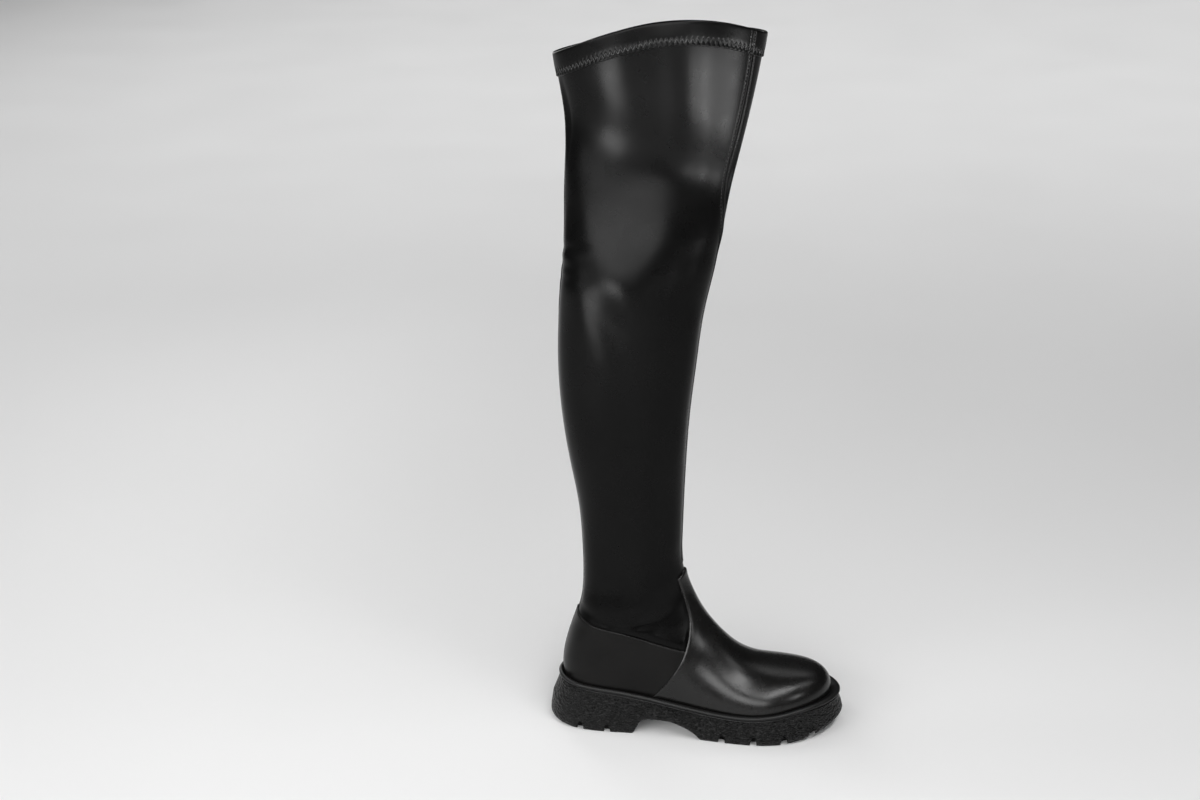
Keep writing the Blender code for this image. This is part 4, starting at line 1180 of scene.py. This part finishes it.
# ------------------------------------------------------------------------- welt
WELT_PROFILE = (
    # name           heel  side  toe   up from the sole top
    ("tuck",          0.2,  0.2,  0.2,  3.6),
    ("inner top",     1.9,  1.9,  2.0,  4.3),
    ("inner crown",   3.4,  3.8,  5.2,  5.3),
    ("crown",         4.6,  5.4,  7.9,  5.5),
    ("round high",    5.9,  6.9,  9.5,  4.6),
    ("round",         6.5,  7.5, 10.1,  3.4),
    ("round low",     6.1,  7.1,  9.7,  2.2),
    ("groove",        4.9,  5.9,  8.4,  1.2),
    ("foot",          4.7,  5.9,  8.4,  0.1),
)
rows = np.array([r[1:] for r in WELT_PROFILE], float)
t = np.arange(len(rows))
fine = np.linspace(0, len(rows) - 1, 29)
profile = np.stack([spline(t, rows[:, k])(fine) for k in range(4)], 1)
angles = np.linspace(0, 180, 300)
loops = []
for heel, side, toe, up in profile:
    x, a, b = outline(angles, heel, side, toe)
    z = sole_top(np.clip(x, 0, SOLE_LENGTH)) + up
    loops.append(np.concatenate([np.stack([x, a, z], 1), np.stack([x, b, z], 1)[-2:0:-1]]))
loops = np.array(loops)
piece("welt_rand", loops, quads(*loops.shape[:2], close=True, flip=True), rand.m, ("welt",))

# short upright ribs in the groove under the rand, round the heel
RIB_PITCH, RIB_FROM, RIB_TO = 2.1, 24.0, 104.0
mids, alongs, outs = [], [], []
for sign in (0, 1):
    fine_a = np.linspace(1, 179, 3000)
    x, a, b = outline(fine_a, 6.4, 6.3, 9.0)
    y = (a, b)[sign]
    run = np.concatenate([[0.0], np.cumsum(np.hypot(np.diff(x), np.diff(y)))])
    for d in np.arange(0, run[-1], RIB_PITCH):
        px = float(np.interp(d, run, x))
        if RIB_FROM < px < RIB_TO:
            py = float(np.interp(d, run, y))
            mids.append((px, py, float(sole_top(px)) - 1.2))
            alongs.append((0, 0, 1.0))
            outs.append((0, -1.0 if sign == 0 else 1.0, 0))
p, f = capsules(mids, alongs, outs, 3.0, 0.62, flat=1.0)
piece("heel_ribs", p, f, rand.m, tidy=False)

# ----------------------------------------------------------------------- insole
angles = np.linspace(0, 180, 90)
INSOLE_PROFILE = ((-3.4, 0.4), (-3.4, 2.4), (-3.8, 3.0), (-4.8, 3.3))
loops = []
for m, up in INSOLE_PROFILE:
    x, a, b = outline(angles, m, m, m)
    z = sole_top(x) + up
    loops.append(np.concatenate([np.stack([x, a, z], 1), np.stack([x, b, z], 1)[-2:0:-1]]))
loops = np.array(loops)
x, a, b = outline(angles, *(INSOLE_PROFILE[-1][0],) * 3)
t = np.linspace(0, 1, 17)[:, None]
cup = 0.9 * (2 * t - 1) ** 2
topface = np.stack([np.broadcast_to(x, (17, len(x))), a * (1 - t) + b * t, sole_top(x) + INSOLE_PROFILE[-1][1] - 0.9 + cup], -1)
p, f = joined([(loops, quads(*loops.shape[:2], close=True)), (topface, quads(*topface.shape[:2]))])
piece("insole_sock", p, f, board.m, ("insole",))


# -------------------------------------------------------------------------- zip
def inner_place(x, z, lift):
    u, s = locate(x, z)
    q = np.array([float(q_at_share(u, 1, s))])
    m = skin_normal(u, 1, q)[0]
    return skin(u, 1, q)[0] + m * lift, m, u, float(q[0])


zip_x = spline([r[2] for r in ZIP_LINE], [r[1] for r in ZIP_LINE])
heights = np.linspace(ZIP_LINE[0][2] + 0.5, ZIP_LINE[-1][2], 130)
ZIP_ACROSS = np.array([-11.5, -9.6, -8.4, -7.6, -7.0, -6.4, -5.6, -4.7, -4.0, -3.6, -3.4, -3.3, -3.0, -2.0, -1.0, 0.0,
                       1.0, 2.0, 3.0, 3.3, 3.4, 3.6, 4.0, 4.7, 5.6, 6.4, 7.0, 7.6, 8.4, 9.6, 11.5])
g = []
for z in heights:
    _, _, u, q = inner_place(float(zip_x(z)), float(z), 0.0)
    g.append(ring_near(u, 1, q, ZIP_ACROSS[::-1] * -1))
g = np.array(g)
s = np.abs(ZIP_ACROSS)
edge = np.interp(s, [0, 3.25, 3.35, 3.6, 4.0, 4.7, 5.6, 7.0, 8.4, 9.6, 11.5], [-0.4, -0.4, 0.25, 0.95, 1.25, 1.25, 1.05, 0.85, 0.6, 0.2, -0.5])
edge = edge - 0.28 * np.exp(-((s - 6.4) / 0.45) ** 2)
lips, zn = dressed(g, np.broadcast_to(edge, g.shape[:2]))
half = len(ZIP_ACROSS) // 2
left, right = lips[:, :13], lips[:, -13:]
p, f = joined([(left, quads(*left.shape[:2])), (right, quads(*right.shape[:2]))])
piece("zip_edges", p, f, stretch.m)
flat_part = slice(10, len(ZIP_ACROSS) - 10)
bed, bn = dressed(g[:, flat_part], np.full((len(heights), len(ZIP_ACROSS) - 20), 0.35))
piece("zip_tape", bed, quads(*bed.shape[:2]), tape.m, ("zip_chain",))
centre = bed[:, bed.shape[1] // 2]
cn = bn[:, bed.shape[1] // 2]
run = np.concatenate([[0.0], np.cumsum(np.linalg.norm(np.diff(centre, axis=0), axis=1))])
mids, alongs, outs = [], [], []
for i, d in enumerate(np.arange(1.0, run[-1] - 0.5, 0.78)):
    k = np.interp(d, run, np.arange(len(run)))
    a, t = int(k), k - int(k)
    b = min(a + 1, len(run) - 1)
    c = centre[a] * (1 - t) + centre[b] * t
    m = cn[a]
    up = centre[b] - centre[max(a - 1, 0)]
    up /= np.linalg.norm(up)
    side = np.cross(m, up) * (1 if i % 2 else -1)
    mids.append(c + side * 0.75 + m * 0.55)
    alongs.append(side)
    outs.append(m)
p, f = capsules(mids, alongs, outs, 3.0, 0.52, flat=1.0)
piece("zip_coil", p, f, coil.m, tidy=False)
mids, alongs, outs = [], [], []
for j in (int(np.argmin(np.abs(ZIP_ACROSS + 6.4))), int(np.argmin(np.abs(ZIP_ACROSS - 6.4)))):
    path = lips[:, j]
    run = np.concatenate([[0.0], np.cumsum(np.linalg.norm(np.diff(path, axis=0), axis=1))])
    for d in np.arange(1.5, run[-1] - 1.5, 2.6):
        k = np.interp(d, run, np.arange(len(run)))
        a, t = int(k), k - int(k)
        b = min(a + 1, len(run) - 1)
        v = path[b] - path[max(a - 1, 0)]
        mids.append(path[a] * (1 - t) + path[b] * t + zn[a, j] * 0.1)
        alongs.append(v / np.linalg.norm(v))
        outs.append(zn[a, j])
p, f = capsules(mids, alongs, outs, 2.0, 0.36)
piece("zip_stitches", p, f, thread.m, tidy=False)

seat, face, _, _ = inner_place(*SLIDER_AT, GAP + ZIP_THICK + GAP)
above = inner_place(float(zip_x(299.0)), 299.0, 0)[0] - inner_place(float(zip_x(285.0)), 285.0, 0)[0]
face = Vector(face).normalized()
along = Vector(above).normalized()
along = (along - face * along.dot(face)).normalized()
across_dir = along.cross(face).normalized()
TURN = np.array([across_dir, along, face])


def slider_frame(p):
    """Points in the slider's own frame (across, along, out) put on the leg."""
    return np.asarray(seat) + np.asarray(p, float).reshape(-1, 3) @ TURN


def plate(outline_pts, z0, z1, edge=0.45, steps=4):
    """Flat plate with rounded edges from a closed outline."""
    o = np.asarray(outline_pts, float)
    k = len(o)
    t = np.roll(o, -1, 0) - np.roll(o, 1, 0)
    m = np.stack([t[:, 1], -t[:, 0]], 1)
    m /= np.linalg.norm(m, axis=1, keepdims=True)
    rings = []
    for a in np.linspace(0, math.pi / 2, steps):
        rings.append((edge * (1 - math.sin(a)), z0 + edge * (1 - math.cos(a))))
    rings += [(r, z0 + z1 - z) for r, z in reversed(rings)]
    pts = [np.column_stack([o - m * r, np.full(k, z)]) for r, z in rings]
    f = [tuple(q) for q in quads(len(rings), k, close=True)]
    f += [tuple(range(k))[::-1], tuple(range((len(rings) - 1) * k, len(rings) * k))]
    return np.concatenate(pts), f


def superellipse(w, h, power, n=48):
    a = np.arange(n) * 2 * math.pi / n
    c, s = np.cos(a), np.sin(a)
    return np.column_stack([np.sign(c) * np.abs(c) ** (2 / power) * w / 2, np.sign(s) * np.abs(s) ** (2 / power) * h / 2])


shape = superellipse(8.4, 10.5, 3.4)
shape[:, 0] *= 1 - 0.10 * (1 - shape[:, 1] / 5.25) / 2
low_plate = plate(shape, 0.0, 1.0, 0.35)
top_plate = plate(shape * 0.96, 1.55, 2.6, 0.40)
post = plate(superellipse(3.0, 5.0, 2.4), 0.9, 1.7, 0.1, 2)
t = np.linspace(-1, 1, 25)
bridge_path = np.column_stack([np.zeros(25), t * 3.4, 2.3 + 3.1 * (1 - np.abs(t) ** 3.2)])
bridge = tube(bridge_path, 0.62, 10, out=(1.0, 0.0, 0.0))
lugs = [plate(superellipse(1.0, 8.2, 4.0) + (sx * 3.55, 0), 0.6, 2.2, 0.3, 3) for sx in (-1, 1)]
p, f = joined([low_plate, top_plate, post, bridge, *lugs])
piece("slider_body", slider_frame(p), f, metal.m, ("zip_slider",), sharp=50)

PIN_OUT = 2.6 + 1.2


def tab_outline(n=26):
    """Half outline of the pull: narrow at the pin, fuller towards its round end."""
    t = np.linspace(0, 1, n)
    y = 0.65 - TAB_LENGTH * t
    w = TAB_WIDTH / 2 * (0.86 + 0.14 * smooth(t / 0.7))
    tip = np.clip((t - 0.88) / 0.12, 0, 1)
    w = w * np.sqrt(np.maximum(1 - tip ** 2.4, 0.02))
    head = np.clip((0.06 - t) / 0.06, 0, 1)
    w = w * np.sqrt(np.maximum(1 - 0.5 * head ** 2, 0.0))
    return w, y


w, y = tab_outline()
frame_pts = np.concatenate([np.column_stack([-w, y]), np.column_stack([w, y])[::-1]])[::-1]
hole_w, hole_top, hole_low = 1.7, -0.65, -7.05
middle = np.array([0.0, (hole_top + hole_low) / 2])
loop = superellipse(2 * hole_w, hole_top - hole_low, 5.0, 64) + middle


def turn_about(ring_xy):
    d = ring_xy - middle
    return np.arctan2(d[:, 1], d[:, 0])


def at_turns(ring_xy, turns):
    """Points of a ring round the window at given turns about its middle."""
    order = np.argsort(turn_about(ring_xy))
    d, own = (ring_xy - middle)[order], turn_about(ring_xy)[order]
    out = []
    for turn in turns:
        j = int(np.searchsorted(own, turn)) % len(own)
        p0, e = d[j - 1], d[j] - d[j - 1]
        u = np.array([math.cos(turn), math.sin(turn)])
        out.append(middle + u * (p0[0] * e[1] - p0[1] * e[0]) / (u[0] * e[1] - u[1] * e[0]))
    return np.array(out)


turns = np.linspace(-math.pi, math.pi, 121)[:-1] + 0.011
frame_sorted, loop = at_turns(frame_pts, turns), at_turns(loop, turns)
k = len(loop)
h = TAB_THICK / 2
prof = []
for ring_xy, shrink in ((frame_sorted, 1), (loop, -1)):
    tt = np.roll(ring_xy, -1, 0) - np.roll(ring_xy, 1, 0)
    mm = np.stack([tt[:, 1], -tt[:, 0]], 1)
    mm /= np.maximum(np.linalg.norm(mm, axis=1, keepdims=True), 1e-9)
    for inset, z in ((0.30, -h), (0.09, -h + 0.09), (0.0, -h + 0.32), (0.0, h - 0.32), (0.09, h - 0.09), (0.30, h))[::shrink]:
        prof.append(np.column_stack([ring_xy - mm * inset * shrink, np.full(k, z)]))
prof = np.array(prof)
loops = np.concatenate([prof, prof[:1]])
pull_pts = prof.reshape(-1, 3) + (0, 0, PIN_OUT)
rows_n = len(prof)
f = []
for i in range(rows_n):
    for j in range(k):
        a, b = i * k + j, i * k + (j + 1) % k
        c, d = ((i + 1) % rows_n) * k + (j + 1) % k, ((i + 1) % rows_n) * k + j
        f.append((a, b, c, d))
piece("pull_tab_plate", slider_frame(pull_pts), f, metal.m, ("zip_pull",), body="pull_tab", sharp=50)

# ---------------------------------------------------------------- floor and light
FLOOR_HALF = 16.0
FLOOR_TONE = 0.815
floor_look = Look("pale_floor", specular=0.25)
floor_look.colour(floor_look.noise(1.3, 3), (0.3, grey(FLOOR_TONE - 0.004)), (0.7, grey(FLOOR_TONE + 0.004)))
floor_look.rough(floor_look.noise(3.0, 2), 0.5, 0.6)
mesh = bpy.data.meshes.new("floor")
mesh.from_pydata([(x * FLOOR_HALF, y * FLOOR_HALF, 0.0) for x, y in ((-1, -1), (1, -1), (1, 1), (-1, 1))], [], [(0, 1, 2, 3)])
mesh.materials.append(floor_look.m)
floor = bpy.data.objects.new("floor", mesh)
bpy.context.scene.collection.objects.link(floor)
floor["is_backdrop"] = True


def lamp(name, place, aim, size, power, spread=180.0, roll=0.0):
    data = bpy.data.lights.new(name, "AREA")
    data.shape = "RECTANGLE"
    data.size, data.size_y = size
    data.energy = power
    data.spread = math.radians(spread)
    obj = bpy.data.objects.new(name, data)
    bpy.context.scene.collection.objects.link(obj)
    obj.location = place
    obj.visible_camera = False
    face = (Vector(aim) - Vector(place)).to_track_quat("-Z", "Y")
    obj.rotation_euler = (face @ Quaternion((0, 0, 1), math.radians(roll))).to_euler()
    return obj


lamp("main", (-0.85, -1.85, 1.02), (0, 0, 0.48), (3.0, 0.70), 47)
lamp("second", (0.50, -0.84, 1.44), (0.05, -0.03, 0.05), (1.25, 0.27), 12.5, roll=37.0)
lamp("front_left", (-0.42, -0.58, 0.34), (-0.08, 0, 0.62), (0.40, 0.20), 0.42, spread=56.0)
lamp("front_mid", (0.30, -0.70, 0.34), (0.0, 0, 0.68), (0.32, 0.22), 0.085, spread=22.0)
lamp("front_right", (0.50, -0.55, 0.34), (0.02, 0, 0.68), (0.45, 0.22), 0.215, spread=22.0)
lamp("front_far", (0.68, -0.34, 0.34), (0.03, 0, 0.68), (0.32, 0.22), 0.125, spread=22.0)
lamp("throat", (0.95, -0.85, 0.62), (0.0, 0, 0.09), (0.35, 0.35), 0.045, spread=24.0)
lamp("side_left", (-2.2, 0.4, 2.2), (0, 0.2, 0), (1.2, 1.4), 20)
lamp("side_right", (1.9, -0.2, 2.6), (0, 0.1, 0), (0.9, 1.0), 6)
lamp("back", (2.6, 5.2, 3.4), (2.6, 5.2, 0), (12.0, 7.4), 225, spread=90.0)
lamp("inner", (-1.1, 1.7, 0.95), (0, 0, 0.40), (0.7, 1.1), 1.1, spread=60.0)

sky = bpy.data.worlds.new("studio")
bpy.context.scene.world = sky
sky.use_nodes = True
t = sky.node_tree
split = t.nodes.new("ShaderNodeSeparateXYZ")
t.links.new(t.nodes.new("ShaderNodeTexCoord").outputs["Generated"], split.inputs["Vector"])
span = t.nodes.new("ShaderNodeMapRange")
for k, v in (("From Min", -0.7), ("From Max", 0.7), ("To Min", 0.13), ("To Max", 0.05)):
    span.inputs[k].default_value = v
t.links.new(split.outputs["Y"], span.inputs["Value"])
t.links.new(span.outputs["Result"], t.nodes["Background"].inputs["Strength"])
t.nodes["Background"].inputs["Color"].default_value = (1, 1, 1, 1)

bpy.context.scene.view_settings.view_transform = "Standard"
bpy.context.scene.view_settings.look = "None"

# ----------------------------------------------------------------------- camera
cam = bpy.data.cameras.new("camera")
cam.lens = 53.4
cam.sensor_width = 36.0
camera = bpy.data.objects.new("camera", cam)
bpy.context.scene.collection.objects.link(camera)
camera.location = (0.0699, -1.5449, 0.856)
camera.rotation_euler = (math.radians(71.0), 0.0, math.radians(6.05))
bpy.context.scene.camera = camera

low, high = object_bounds()
